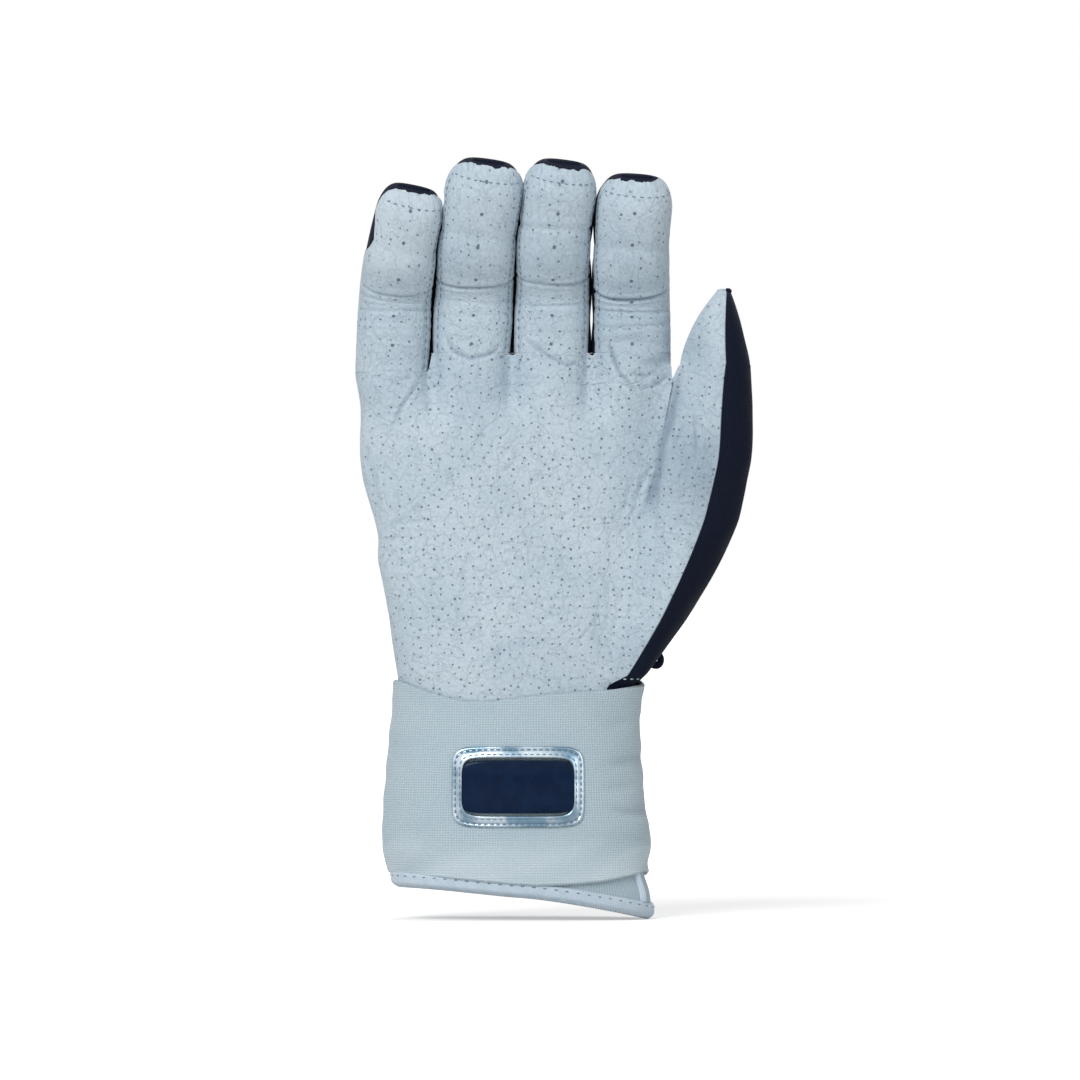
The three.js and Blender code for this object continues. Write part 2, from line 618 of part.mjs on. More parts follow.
const strapHinge = degToRad(STRAP_HINGE_DEG);
const strapTail = body(
  "strap_tail",
  [
    part("strap_tail", strapBand(STRAP_HINGE_DEG + HINGE_GAP_DEG, STRAP_END_DEG, 10), knit),
    part("hook_pad", closurePad(HOOK_LIFT, HOOK_THICKNESS, HOOK_HEIGHT, HOOK_SPAN_DEG), pile),
  ],
  {
    pivot: cuffPoint(strapHinge, STRAP_BOTTOM, STACK + ELASTIC),
    end: cuffPoint(strapHinge, STRAP_TOP, STACK + ELASTIC),
  },
);

const thumbBase = body(
  "thumb_base",
  [
    part("thumb_front_base", thumbBasePanel(LEATHER, 1, THUMB_SEAM_DEG + SEAM_GAP_DEG, 9), leather),
    part("thumb_back_base", thumbBasePanel(STRETCH, -1, THUMB_SEAM_DEG, 12), navy),
    part("pull_loop", pullLoop(), navy),
  ],
  {
    pivot: new THREE.Vector3(CREASE_WRIST_X, -CREASE_FRONT, PALM_BOTTOM),
    end: new THREE.Vector3(CROTCH_X, -CREASE_CROTCH_FRONT, CROTCH_Z),
  },
);

const wrapEnd = 180 + THUMB_WRAP_DEG;
const thumbTip = body(
  "thumb_tip",
  [
    part("thumb_front_tip", thumbTipPanel(LEATHER, THUMB_SEAM_DEG + SEAM_GAP_DEG, wrapEnd, 9), leather),
    part("thumb_back_tip", thumbTipPanel(STRETCH, wrapEnd + SEAM_GAP_DEG, 360 + THUMB_SEAM_DEG, 10), navy),
  ],
  { pivot: thumbTipPoint(Math.PI / 2, 0, 0), axis: FLEX_AXIS },
);

// Each tip run rides on its base run, and the base runs and the strap's tail ride on the hand.
thumbBase.add(thumbTip);
hand.add(strapTail, thumbBase);
FINGERS.forEach((f, k) => {
  const [baseRun, tipRun] = finger(f, k > 0, k + 1 < FINGERS.length);
  baseRun.add(tipRun);
  hand.add(baseRun);
});
const glove = new THREE.Group();
glove.name = "batting_glove";
glove.add(hand);

export default glove;
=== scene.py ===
# Looks of the batting glove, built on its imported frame.
import math

import bpy
import numpy as np
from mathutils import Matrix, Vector


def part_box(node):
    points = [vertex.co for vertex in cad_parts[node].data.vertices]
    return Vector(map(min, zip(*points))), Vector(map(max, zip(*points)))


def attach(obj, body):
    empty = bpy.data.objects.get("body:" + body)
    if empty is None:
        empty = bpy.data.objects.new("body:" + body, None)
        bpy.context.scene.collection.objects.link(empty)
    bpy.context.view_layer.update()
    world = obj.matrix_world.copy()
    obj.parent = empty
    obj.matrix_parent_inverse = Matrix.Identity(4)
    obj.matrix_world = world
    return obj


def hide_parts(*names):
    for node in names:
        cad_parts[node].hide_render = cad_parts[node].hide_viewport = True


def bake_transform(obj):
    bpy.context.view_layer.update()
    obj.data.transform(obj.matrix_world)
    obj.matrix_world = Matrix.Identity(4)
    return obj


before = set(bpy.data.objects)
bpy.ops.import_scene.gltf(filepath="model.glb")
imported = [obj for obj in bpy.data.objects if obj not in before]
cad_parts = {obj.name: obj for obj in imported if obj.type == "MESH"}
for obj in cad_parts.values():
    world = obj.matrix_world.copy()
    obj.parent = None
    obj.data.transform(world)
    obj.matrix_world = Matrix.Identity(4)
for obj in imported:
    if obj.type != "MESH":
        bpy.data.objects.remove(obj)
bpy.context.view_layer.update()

# Sizes are in millimetres, and the scene is in metres.
MM = 0.001
CUFF_HEIGHT, CUFF_TOP, CUFF_MOUTH, CUFF_SQUARE = 75.0, (74.0, 32.0), (81.0, 36.0), 2.4
MOUTH_SLANT, MOUTH_CURVE, BINDING_HEIGHT = 10.0, 1.8, 5.0
STRAP_BOTTOM, STRAP_START, STRAP_HINGE, STRAP_END = 14.0, -52.0, 232.0, 302.0
STRAP_LIFT, STRAP_STACK, STRAP_RAMP = 0.3, 2.9, 30.0
ELASTIC, LEATHER, STRETCH, KNIT = 1.5, 0.8, 0.7, 1.2
BADGE_Z, BADGE_SIZE, PLATE_SIZE, PLATE_FACE = 41.5, (41.0, 25.0), (35.0, 16.4), 21.22
PALM_BOTTOM, PALM_TOP, CROTCH_Z, TUCK_Z = 75.3, 176.0, 172.0, 64.0
PALM_LEFT, PALM_RIGHT, CROTCH_X, THUMB_EDGE = -50.35, 47.15, 48.65, 72.9
CREASE_SPAN = CROTCH_Z - PALM_BOTTOM
CREASE_START, WRIST_HALF, THUMB_CLIMB, STRAP_HALF = 30.0, 37.0, 72.0, 38.5
FRONT_EDGE, OUTER_EDGE, BACK_START, BACK_EDGE, BACK_OUTER = 15.0, 18.0, 215.0, 325.0, 339.5
FRONT_SEAM, BACK_SEAM, FINGER_SQUARE, KNUCKLE_SQUARE = 25, 35, 0.8, 2.5
KNUCKLE, TIP_ROUND, TIP_HALF_WIDTH, TIP_HALF_DEPTH = 1 / 3, 9.0, 5.0, 1.25
TILTS = (7.0, 36.0, 22.0)
TIP_DOME, UPRIGHT_RUN = 0.7, 12.0
THUMB_SEAM, THUMB_TIP, THUMB_TIP_SHIFT, THUMB_FADE = 66.0, 23.0, 2.4, 14.0
ROOT_LENGTH, LEATHER_LAP, THUMB_SLIM = 9.0, 0.3, 1.4
STITCH_INSET, GROOVE_DEPTH, GROOVE_WIDTH, TIP_LIMIT = 18.0, 0.28, 3.6, 0.9975
LEAST_GAP, BULGE_LIMIT, END_DRAW, END_RAGGED = 0.5, 1.6, 0.03, 0.004
RIBS, RIB_DEPTH, RIB_WIDTH = (-5.4, -1.8, 1.8, 5.4), 0.45, 0.9

# How much of its depth a finger's side adds to the width of the flat pattern.
FRONT_SHARE, BACK_SHARE = 0.75, 0.5

# Distance from a finger's middle line where no row of air holes is wanted.
FAR = 50.0

# Pitch, length, width and height of the thread in each kind of stitch row.
FINGER_STITCH, CROTCH_STITCH = (2.3, 1.2, 0.42, 0.24), (2.0, 1.1, 0.42, 0.24)
BACK_STITCH, HEM_STITCH = (2.4, 1.4, 0.45, 0.22), (2.0, 1.0, 0.4, 0.2)
BINDING_STITCH, BADGE_STITCH = (3.4, 1.5, 0.6, 0.3), (1.9, 1.2, 0.4, 0.26)

# Each finger: x, height of the root, width, depth, lengths of its runs, taper, sideways leans.
FINGERS = {
    "little": (-39.1, 170.0, 22.5, 19.0, (24.0, 18.0, 19.7), 2.5, (2, 8, 13)),
    "ring": (-14.45, 176.0, 24.0, 20.0, (20.0, 21.5, 23.0), 1.5, (3, 3.5, 9)),
    "middle": (10.25, 176.0, 23.0, 20.0, (20.0, 21.0, 23.2), 1.5, (1.5, 1.5, 8)),
    "index": (35.45, 176.0, 23.4, 20.0, (18.0, 20.5, 21.1), 1.0, (-0.5, -0.5, 4.5)),
}
ORDER = list(FINGERS)

# Painted shade: darkening of the leather's colour above each finger's joint and below it.
JOINT_SHADE = {"little": 0.0, "ring": 0.28, "middle": 0.3, "index": 0.3}
BASE_SHADE = {"little": 0.22, "ring": 0.1, "middle": 0.05, "index": 0.36}

# Painted light: lightening of the leather's colour towards each fingertip.
TIP_LIGHT = {"little": 0.3, "ring": 0.08, "middle": 0.05, "index": 0.08}

# Height of the navy band above the leather's raw edge at each fingertip.
TIP_BAND = {"little": 0.25, "ring": 0.3, "middle": 0.4, "index": 0.25}

# Angle of the little finger's outer leather edge along the finger.
LITTLE_EDGE = ((0.0, 0.12, 0.57, 0.62, 0.68, 0.73, 0.8, 0.87, 1.0),
               (191.0, 198.0, 198.0, 178.0, 155.0, 145.0, 152.0, 164.0, 158.0))

# Creases across a finger's front: distance from the root, depth, width.
CREASES = {
    "little": [(30.6, 0.55, 0.65), (45.0, 0.25, 1.6), (10.0, 0.22, 0.7), (13.2, 0.25, 0.6),
               (16.0, 0.22, 0.6), (20.4, 0.32, 0.7), (25.5, 0.2, 0.6)],
    "ring": [(27.8, 0.65, 0.65), (44.0, 0.3, 1.6), (12.5, 0.15, 1.0), (18.5, 0.2, 0.8)],
    "middle": [(29.2, 0.6, 0.65), (46.4, 0.45, 0.9), (31.4, 0.3, 0.6), (16.5, 0.35, 0.8),
               (6.0, 0.15, 0.9)],
    "index": [(23.6, 1.0, 0.8), (40.0, 0.4, 1.6), (14.6, 0.45, 0.7), (8.8, 0.4, 0.7), (3.2, 0.35, 0.8)],
}

# Folds of the palm and thumb: points (x, z), depth, width.
FOLDS = [
    ([(-30.5, 167), (-36, 159), (-41, 148)], 0.6, 0.6),
    ([(-19.6, 169), (-19.4, 160), (-18.4, 147)], 0.35, 0.7),
    ([(-17.4, 167), (-17.0, 158), (-17.2, 150)], 0.25, 0.6),
    ([(1.2, 172), (3.4, 164), (8, 153)], 0.5, 0.7),
    ([(48, 170), (43, 166), (37, 164)], 0.5, 0.7),
    ([(33, 170.5), (38, 168.5), (44, 169.5)], 0.3, 0.6),
    ([(43, 138), (40, 129), (35, 120)], 0.3, 0.7),
    ([(41, 140), (36.5, 131), (30, 125)], 0.26, 0.7),
    ([(41.5, 134), (39.5, 126), (37, 114)], 0.24, 0.7),
    ([(43.5, 133), (43, 126), (42, 117)], 0.22, 0.7),
    ([(-47, 146), (-43.5, 130), (-42.5, 120)], 0.45, 1.0),
    ([(-44, 119), (-36, 124), (-28, 130)], 0.32, 0.7),
    ([(-42, 115), (-35, 114), (-28, 116)], 0.25, 0.7),
    ([(-12, 78), (-4, 84), (8, 87)], 0.3, 1.4),
    ([(28, 80), (24, 88), (24, 100)], 0.4, 1.5),
    ([(26, 127), (28.5, 119), (27, 111)], 0.25, 0.7),
]

# Folds that cross from the palm to a finger, in the same form.
ROOT_FOLDS = [
    ([(-22.3, 181), (-20.2, 176.4), (-14.5, 174.1), (-8.8, 175.4), (-5.2, 178)], 0.55, 0.7),
    ([(1.0, 180.5), (4.6, 178.3), (9.6, 174.7), (15.5, 171.8), (19.5, 173.2)], 0.55, 0.7),
    ([(28.2, 178), (31.2, 170), (36.2, 164.8)], 0.5, 0.7),
    ([(-45, 168.5), (-39, 166.6), (-34, 168)], 0.25, 0.8),
]

# The fold where the thumb lies over the palm: heights, x, then step, steepness and reach.
THUMB_FOLD = (122.0, 130.0, 139.5, 147.3, 155.0, 170.5), (40.5, 42.5, 44.0, 45.0, 47.7, 51.2)
FOLD_STEP, FOLD_STEEP, FOLD_REACH = 1.0, 0.9, 6.0

# How far the worn glove's outline lies inside (left) or outside (right) the plain form, by height.
LEFT_TRIM = (
    (74, 80.6, 86.8, 93, 99.2, 105.4, 111.6, 115, 118.5, 124,
     130.2, 136.4, 142.6, 148.8, 155, 160, 165, 168, 170),
    (0, -0.9, -1.2, -0.9, -0.6, -0.3, 0.0, 1.0, 2.1, 2.3,
     1.8, 1.2, 1.2, 1.4, 1.7, 1.6, 0.7, 0.1, 0))
RIGHT_TRIM = (
    (72, 74, 78, 86.8, 93, 99.2, 105.4, 111.6, 117.8, 124, 130, 136.4, 143, 150, 160, 172, 174),
    (0.6, 2.2, 2.3, 1.9, 1.8, 1.2, 0.9, 0.6, 0.3, 0.2, -0.5, -0.8, -0.3, 0, -0.1, -0.75, -0.85))

# The same for the right and the left edge of the strap and cuff.
CUFF_TRIMS = (
    ((0, 4, 9, 14, 17, 20, 24, 30, 35, 51, 62, 68, 72),
     (0.8, 1.1, 0.7, -0.8, -1.2, -0.4, 0.4, -0.2, -1.0, -1.5, -1.5, -0.6, 0.3)),
    ((8, 11, 14, 17, 22, 31, 45, 60, 67), (1.6, 1.6, 1.0, 0.2, -1.2, -1.4, -1.1, -0.3, 0)))

# Patches of fine wrinkles: centre, spread, direction in degrees, count, length, depth.
WRINKLES = [
    ((37, 127), (5, 7), 62, 10, 14, 0.15), ((-40, 119), (4, 9), 15, 7, 13, 0.18),
    ((37, 168), (4, 2), 10, 5, 9, 0.15), ((-42, 156), (5, 6), 10, 5, 11, 0.18),
    ((27, 97), (7, 12), 78, 7, 18, 0.22), ((5, 138), (30, 20), 50, 18, 15, 0.14),
    ((-22, 100), (14, 14), 100, 10, 16, 0.14), ((56, 148), (6, 12), 80, 8, 12, 0.18),
    ((-14, 152), (16, 5), 80, 6, 11, 0.12), ((2, 108), (26, 14), 20, 12, 14, 0.12),
    ((55, 122), (8, 10), 60, 8, 12, 0.14),
]


def wrinkle_folds():
    """Short random folds for each patch of wrinkles."""
    random = np.random.default_rng(11)
    folds = []
    for centre, spread_by, direction, count, length, depth in WRINKLES:
        for _ in range(count):
            middle = np.array(centre) + random.normal(0, 0.6, 2) * spread_by
            turn = math.radians(direction + random.normal(0, 12))
            way = np.array([math.cos(turn), math.sin(turn)]) * length * random.uniform(0.35, 0.6)
            sag = np.array([-way[1], way[0]]) * random.normal(0, 0.15)
            ends = [middle + way, middle + sag, middle - way]
            folds.append((ends, depth * random.uniform(0.6, 1.2), random.uniform(0.55, 0.85)))
    return folds


FOLDS += wrinkle_folds()


def smooth(value, low, high):
    """0 below low, 1 above high, with a soft rise between."""
    t = np.clip((value - low) / (high - low), 0, 1)
    return t * t * (3 - 2 * t)


def lerp(a, b, t):
    return a + (b - a) * t


def crown(u, power):
    """Height of a rounded section at u from -1 to 1: power 2 is a circle."""
    return np.maximum(0, 1 - np.abs(u) ** power) ** (1 / power)


def spread(value, power):
    """A power that keeps the sign."""
    return np.sign(value) * np.abs(value) ** power


def unit(vectors):
    return vectors / np.maximum(np.linalg.norm(vectors, axis=-1, keepdims=True), 1e-9)


def stack(x, y, z):
    return np.stack(np.broadcast_arrays(x, y, z), -1).astype(float)


def hump(distance, width):
    return np.exp(-(distance / width) ** 2)


def travel_along(line):
    """Distance to each point of a line from its start, or the same for each row of a grid."""
    steps = np.diff(line, axis=-2, prepend=line[..., :1, :])
    return np.cumsum(np.linalg.norm(steps, axis=-1), axis=-1)


def crease_shape(distance, depth, width):
    """A fold line: a narrow valley with a soft swell on each side."""
    t = distance / width
    return depth * (0.3 * np.exp(-(np.abs(t) - 2.4) ** 2 / 1.4) - np.exp(-t * t))


class Finger:
    """The spine, sections and creases of one finger."""

    def __init__(self, name, x, root, width, depth, runs, taper, leans):
        self.name, self.x, self.root, self.width, self.depth = name, x, root, width, depth
        self.runs, self.taper, self.creases = runs, taper, CREASES[name]
        knots = [np.array([x, 0.0, root])]
        for length, tilt, lean in zip(runs, np.radians(TILTS), np.radians(leans)):
            rise = length * math.cos(tilt)
            knots.append(knots[-1] + (rise * math.tan(lean), -length * math.sin(tilt), rise))
        ends = [2 * knots[0] - knots[1]], [2 * knots[-1] - knots[-2]]
        self.knots = np.array(ends[0] + knots + ends[1])

    def spine(self, u):
        place = np.clip(np.asarray(u, float) * 3, 0, 3)
        k = np.minimum(place.astype(int), 2)
        w = (place - k)[..., None]
        a, b, c, d = (self.knots[k + step] for step in range(4))
        bend = (2 * a - 5 * b + 4 * c - d) * w ** 2 + (3 * b - a - 3 * c + d) * w ** 3
        return 0.5 * (2 * b + (c - a) * w + bend) - self.upright(place)

    def upright(self, place):
        """Takes the lean out of the first millimetres, so that the finger leaves the palm without a kink."""
        lean = (self.knots[2] - self.knots[1]) / self.runs[0] * (1, 1, 0)
        s = np.clip(place * self.runs[0] / UPRIGHT_RUN, 0, 1)
        return (UPRIGHT_RUN * s * (1 - s) ** 2)[..., None] * lean

    def tangent(self, u):
        ahead, behind = np.minimum(u + 1e-3, 1), np.maximum(np.minimum(u, 1) - 1e-3, 0)
        return unit(self.spine(ahead) - self.spine(behind))

    def length(self, u):
        place = np.asarray(u, float) * 3
        return np.interp(place, [0, 1, 2, 3], np.concatenate([[0], np.cumsum(self.runs)]))

    def half(self, u):
        start = 1 - TIP_ROUND / (self.runs[2] * 3)
        full = crown(np.clip((u - start) / (1 - start), 0, 1), 2)
        wide = lerp(TIP_HALF_WIDTH, (self.width - self.taper * u) / 2, full)
        return wide, lerp(TIP_HALF_DEPTH, self.depth / 2, full)

    def axes(self, u):
        up = np.zeros(np.shape(u) + (3,))
        up[..., 2] = 1
        along = unit(lerp(self.tangent(u), up, (1 - smooth(u, 0, 1 / 6))[..., None]))
        across = unit(np.array([1.0, 0, 0]) - along[..., :1] * along)
        return across, np.cross(across, along)

    def point(self, degrees, u, lift=0.0):
        u, lift = np.asarray(u, float), np.asarray(lift, float)
        angle, u, lift = np.broadcast_arrays(np.radians(degrees), u, lift)
        wide, deep = self.half(u)
        across, front = self.axes(u)
        side = (wide + lift) * spread(np.cos(angle), FINGER_SQUARE)
        ahead = (deep + lift) * spread(np.sin(angle), FINGER_SQUARE)
        return self.spine(u) + side[..., None] * across + ahead[..., None] * front

    def relief(self, degrees, u):
        """Creases and soft pads of the leather front."""
        angle = np.radians(degrees)
        facing = np.clip(np.sin(angle), 0, 1) ** 0.6
        s = self.length(u)
        level = np.cos(angle) ** 2
        lines = 0
        for k, (at, depth, width) in enumerate(self.creases):
            wander = 0.5 * np.sin(2.4 * np.cos(angle) + 1.7 * at)
            lines = lines + crease_shape(s + (1.3 if k < 2 else 0.3) * level + wander - at, depth, width)
        knuckle = self.creases[0][0]
        s = s + 1.3 * level
        pads = 0.7 * hump(s - knuckle - 9, 5) + 0.8 * hump(s - knuckle - 28, 6.5)
        ledge = 0.25 * hump(s - knuckle - 2.2, 1.8)
        pads = pads + 0.5 * hump(s - 0.45 * knuckle, 6)
        fade = smooth(s, 0.5, 6) * (1 - smooth(u, 0.93, 0.99))
        return (lines + pads + ledge) * facing * fade


fingers = {name: Finger(name, *sizes) for name, sizes in FINGERS.items()}


def share_of(z):
    return np.clip((z - PALM_BOTTOM) / CREASE_SPAN, 0, 1)


def crease_x(z):
    return lerp(CREASE_START, CROTCH_X, np.maximum(z - PALM_BOTTOM, 0) / CREASE_SPAN)


def overlap(z):
    """How far palm and thumb each reach past the crease between them."""
    return lerp(7.0, -1.5, share_of(z)) + 6 * np.sin(np.pi * share_of(z))


def meet_crease(height, x, z, front, lift, fade):
    """Draws a height down to the crease between palm and thumb, which ends fade mm above the crotch."""
    low = np.where(front, lerp(14.5, 5.0, share_of(z)), lerp(12.5, -1.0, share_of(z)))
    near = 1 - smooth(np.abs(x - crease_x(z)), 0, 14)
    return lerp(height, low + lift, near * (1 - smooth(z, CROTCH_Z, CROTCH_Z + fade)))


def hug_wrist(points, lift):
    """Lays the lowest part of the skins on the cuff, so that they pass under the strap."""
    x, y, z = (points[..., k] for k in range(3))
    wide, deep = CUFF_TOP[0] / 2 + lift, CUFF_TOP[1] / 2 + lift
    turn = np.arctan2(spread(-y / deep, CUFF_SQUARE / 2), spread(x / wide, CUFF_SQUARE / 2))
    cuff_x = wide * spread(np.cos(turn), 2 / CUFF_SQUARE)
    cuff_y = -deep * spread(np.sin(turn), 2 / CUFF_SQUARE)
    return fit_outline(stack(lerp(cuff_x, x, smooth(z, 72, 76)), lerp(cuff_y, y, smooth(z, 73, 88)), z))


def trim_at(z, trim, steps):
    """The shift that a trim table gives at height z, smoothed over these steps."""
    return np.mean([np.interp(z + step, *trim) for step in steps], axis=0)


def thumb_edge(z):
    """X of the thumb's outer edge."""
    climb = np.clip((z - PALM_BOTTOM) / THUMB_CLIMB, 0, 1)
    return lerp(WRIST_HALF, THUMB_EDGE, np.sin(climb * np.pi / 2))


def fit_outline(points):
    """Draws the outer edges of palm and thumb to the outline of the worn glove."""
    x, y, z = (points[..., k] for k in range(3))
    steps = np.linspace(-1.5, 1.5, 5)
    left, right = (trim_at(z, trim, steps) for trim in (LEFT_TRIM, RIGHT_TRIM))
    outer = smooth((x - crease_x(z)) / (thumb_edge(z) - crease_x(z)), 0.2, 0.95)
    return stack(x + left * smooth(-x, 12, 38) + right * outer, y, z)


def palm_slice(z):
    """Middle, half width and half depth of the palm at height z."""
    left = lerp(-WRIST_HALF, PALM_LEFT, smooth(z, PALM_BOTTOM, PALM_BOTTOM + 75))
    right = np.where(z < CROTCH_Z, crease_x(z) + overlap(z), PALM_RIGHT)
    up = (z - PALM_BOTTOM) / (PALM_TOP - PALM_BOTTOM)
    lower, upper = lerp(32.0, 26.0, smooth(up, 0, 0.5)), lerp(26.0, 20.0, smooth(up, 0.5, 1))
    depth = np.where(up < 0.5, lower, upper)
    return (left + right) / 2, (right - left) / 2, depth / 2


def knuckle_height(x, seam):
    low = math.sin(math.radians(seam)) ** 0.8
    first, last = fingers["little"].x, fingers["index"].x
    between = low * smooth(x, first - 4, first) * (1 - smooth(x, last, last + 4))
    heights = []
    for f in fingers.values():
        over = crown((x - f.x) / (f.width / 2), KNUCKLE_SQUARE)
        heights.append(f.depth / 2 * np.maximum(between, over))
    return np.max(heights, axis=0)


def palm_height(u, x, z, front, lift):
    rise = palm_slice(z)[2]
    flat = crown(u, 2.6) * (rise + lift)
    steep = smooth(z, 150, 169)
    knuckles = np.where(front, knuckle_height(x, FRONT_SEAM), knuckle_height(x, BACK_SEAM))
    knuckles = knuckles * (1 + lift / 10)
    return meet_crease(lerp(flat, knuckles, steep), x, z, front, lift, 3)


def palm_point(angle, z, lift=0.0):
    """A point of the palm tube: angle 0 is the little-finger edge, above 0 the front."""
    real = np.asarray(z, float)
    z = np.maximum(real, PALM_BOTTOM)
    middle, half, _ = palm_slice(z)
    front = angle >= 0
    u = -np.cos(angle)
    x = middle + (half + lift) * u
    y = np.where(front, -1, 1) * palm_height(u, x, z, front, lift)
    return hug_wrist(stack(x, y, real), lift)


def palm_end(z):
    """Angle at which the palm's tube meets the thumb crease."""
    z = np.maximum(z, PALM_BOTTOM)
    middle, half, _ = palm_slice(z)
    meets = np.arccos(np.clip((middle - crease_x(z)) / half, -1, 1))
    return np.minimum(meets, np.pi - 0.3 / half)


def thumb_slice(z):
    """Middle, half width, half depth and forward shift of the thumb at height z."""
    left, right = crease_x(z) - overlap(z), thumb_edge(z)
    rise = lerp(32.0, 21.0, smooth(share_of(z), 0, 1)) / 2
    return (left + right) / 2, (right - left) / 2, rise, 7 * np.sin(share_of(z) * np.pi / 2)


def thumb_point(angle, z, lift=0.0):
    """A point of the thumb tube: angle 0 is its outer edge, above 0 the front."""
    real = np.asarray(z, float)
    z = np.maximum(real, PALM_BOTTOM)
    middle, half, rise, forward = thumb_slice(z)
    front = angle >= 0
    side = np.where(front, -1, 1)
    x = middle + (half + lift) * np.cos(angle)
    height = crown(np.cos(angle), 2.5) * (rise + lift) - side * forward
    return hug_wrist(stack(x, side * meet_crease(height, x, z, front, lift, THUMB_FADE), real), lift)


def thumb_end(z):
    """Angle at which the thumb's tube meets the crease."""
    z = np.maximum(z, PALM_BOTTOM)
    middle, half, _, _ = thumb_slice(z)
    return np.arccos(np.clip((crease_x(z) - middle) / half, -1, 1))


def thumb_tip_point(angle, v, lift=0.0):
    middle, half, rise, forward = thumb_slice(np.array(CROTCH_Z))
    slim = lerp(0.45, 1, smooth(v, -0.1, 0.45))
    wide = lerp(2.0, half - THUMB_SLIM * slim, 1 - v ** 1.8) + lift
    deep = lerp(TIP_HALF_DEPTH, rise, crown(v, 2)) + lift
    inward = 0.35
    x = middle - inward * slim + (THUMB_TIP_SHIFT + inward) * v * v
    x = x + wide * spread(np.cos(angle), FINGER_SQUARE)
    front = np.sin(angle) >= 0
    side = np.where(front, -1, 1)
    z = CROTCH_Z + THUMB_TIP * v
    height = deep * np.abs(np.sin(angle)) ** FINGER_SQUARE - side * forward
    return stack(x, side * meet_crease(height, x, z, front, lift, THUMB_FADE), z)


def cuff_half(z, lift):
    """Half of the cuff's width and of its depth at height z."""
    return [lerp(mouth, top, z / CUFF_HEIGHT) / 2 + lift for mouth, top in zip(CUFF_MOUTH, CUFF_TOP)]


def cuff_point(angle, z, lift=0.0):
    """A point round the wrist: angle 0 is the thumb side, 90 degrees the front."""
    wide, deep = cuff_half(z, lift)
    right, left = (trim_at(z, trim, (-1, 0, 1)) for trim in CUFF_TRIMS)
    shift = right * smooth(np.cos(angle), 0.3, 0.95) + left * smooth(-np.cos(angle), 0.3, 0.95)
    x = wide * spread(np.cos(angle), 2 / CUFF_SQUARE) + shift
    return stack(x, -deep * spread(np.sin(angle), 2 / CUFF_SQUARE), z)


def mouth_z(angle):
    """Height of the binding's upper edge round the slanted mouth."""
    return BINDING_HEIGHT + MOUTH_SLANT * (1 - ((1 + np.cos(angle)) / 2) ** MOUTH_CURVE)


def strap_lift(angle):
    """How far the strap stands off the cuff: it climbs over the loop pad."""
    return lerp(STRAP_LIFT, STRAP_STACK, smooth(np.degrees(angle), STRAP_HINGE - STRAP_RAMP, STRAP_HINGE))


def line_relief(folds, x, z, thin):
    """Height of fold lines at points (x, z). thin is the share that a line loses toward its end."""
    depth = np.zeros(np.shape(x))
    for points, amount, width in folds:
        knots = np.array(points, float)
        best, travel = np.full(np.shape(x), 1e9), np.zeros(np.shape(x))
        for k, (a, b) in enumerate(zip(knots[:-1], knots[1:])):
            run = b - a
            t = np.clip(((x - a[0]) * run[0] + (z - a[1]) * run[1]) / (run @ run), 0, 1)
            away = np.hypot(x - a[0] - t * run[0], z - a[1] - t * run[1])
            travel = np.where(away < best, (k + t) / (len(knots) - 1), travel)
            best = np.minimum(best, away)
        depth = depth + crease_shape(best, amount, width) * (1 - thin * travel ** 2)
    return depth


def root_relief(x, z):
    """Height of the folds over the finger roots, the same on palm and fingers."""
    near = sum(1 - smooth(np.abs(x - f.x), 0.28 * f.width, 0.43 * f.width) for f in fingers.values())
    return line_relief(ROOT_FOLDS, x, z, 0) * near * (1 - smooth(z, 181, 185))


def fold_relief(x, z):
    """Height of the palm's folds at points (x, z)."""
    depth = line_relief(FOLDS, x, z, 0.85)
    for left, right in zip(ORDER[:-1], ORDER[1:]):
        valley = (fingers[left].x + fingers[right].x) / 2
        depth = depth * (1 - smooth(z, 154, 166) * np.exp(-((x - valley) / 5) ** 4))
    return depth


def thumb_step(x, z):
    """Height of the step where the thumb lies over the palm."""
    away = x - np.interp(z, *THUMB_FOLD)
    fade = smooth(z, 118, 140) * (1 - smooth(z, 165, 172))
    return FOLD_STEP * np.tanh(away / FOLD_STEEP) * hump(away, FOLD_REACH) * fade


def thumb_shade(x, z):
    """Painted shade along the thumb's fold and on the shaded thumb root."""
    away = x - np.interp(z, *THUMB_FOLD)
    line = 0.55 * hump(away + 0.6, 1.5) + 0.3 * hump(away + 2, 5)
    root = 0.75 * np.exp(-((x - 56) / 13) ** 2 - ((z - 138) / 20) ** 2)
    return line * smooth(z, 116, 138) * (1 - 0.5 * smooth(z, 160, 172)) + root


def palm_form(x, z):
    """Height of the palm's hollow and of the soft pads under the fingers."""
    form = -2.2 * np.exp(-(((x - 14) / 24) ** 2 + ((z - 130) / 27) ** 2))
    for f in fingers.values():
        form = form + 0.6 * np.exp(-(((x - f.x) / 8) ** 2 + ((z - f.root + 13) / 9) ** 2))
    return form


def push_front(points, strength):
    """Moves front points along -Y by the palm's form and folds, and returns the folds."""
    x, z = points[..., 0], points[..., 2]
    folds = fold_relief(x, z) * strength
    moved = points.copy()
    moved[..., 1] -= folds + (palm_form(x, z) + thumb_step(x, z)) * strength
    return moved, folds


def grid_normals(points, out):
    normals = unit(np.cross(np.gradient(points, axis=0), np.gradient(points, axis=1)))
    return normals if np.mean(normals @ np.array(out, float)) > 0 else -normals


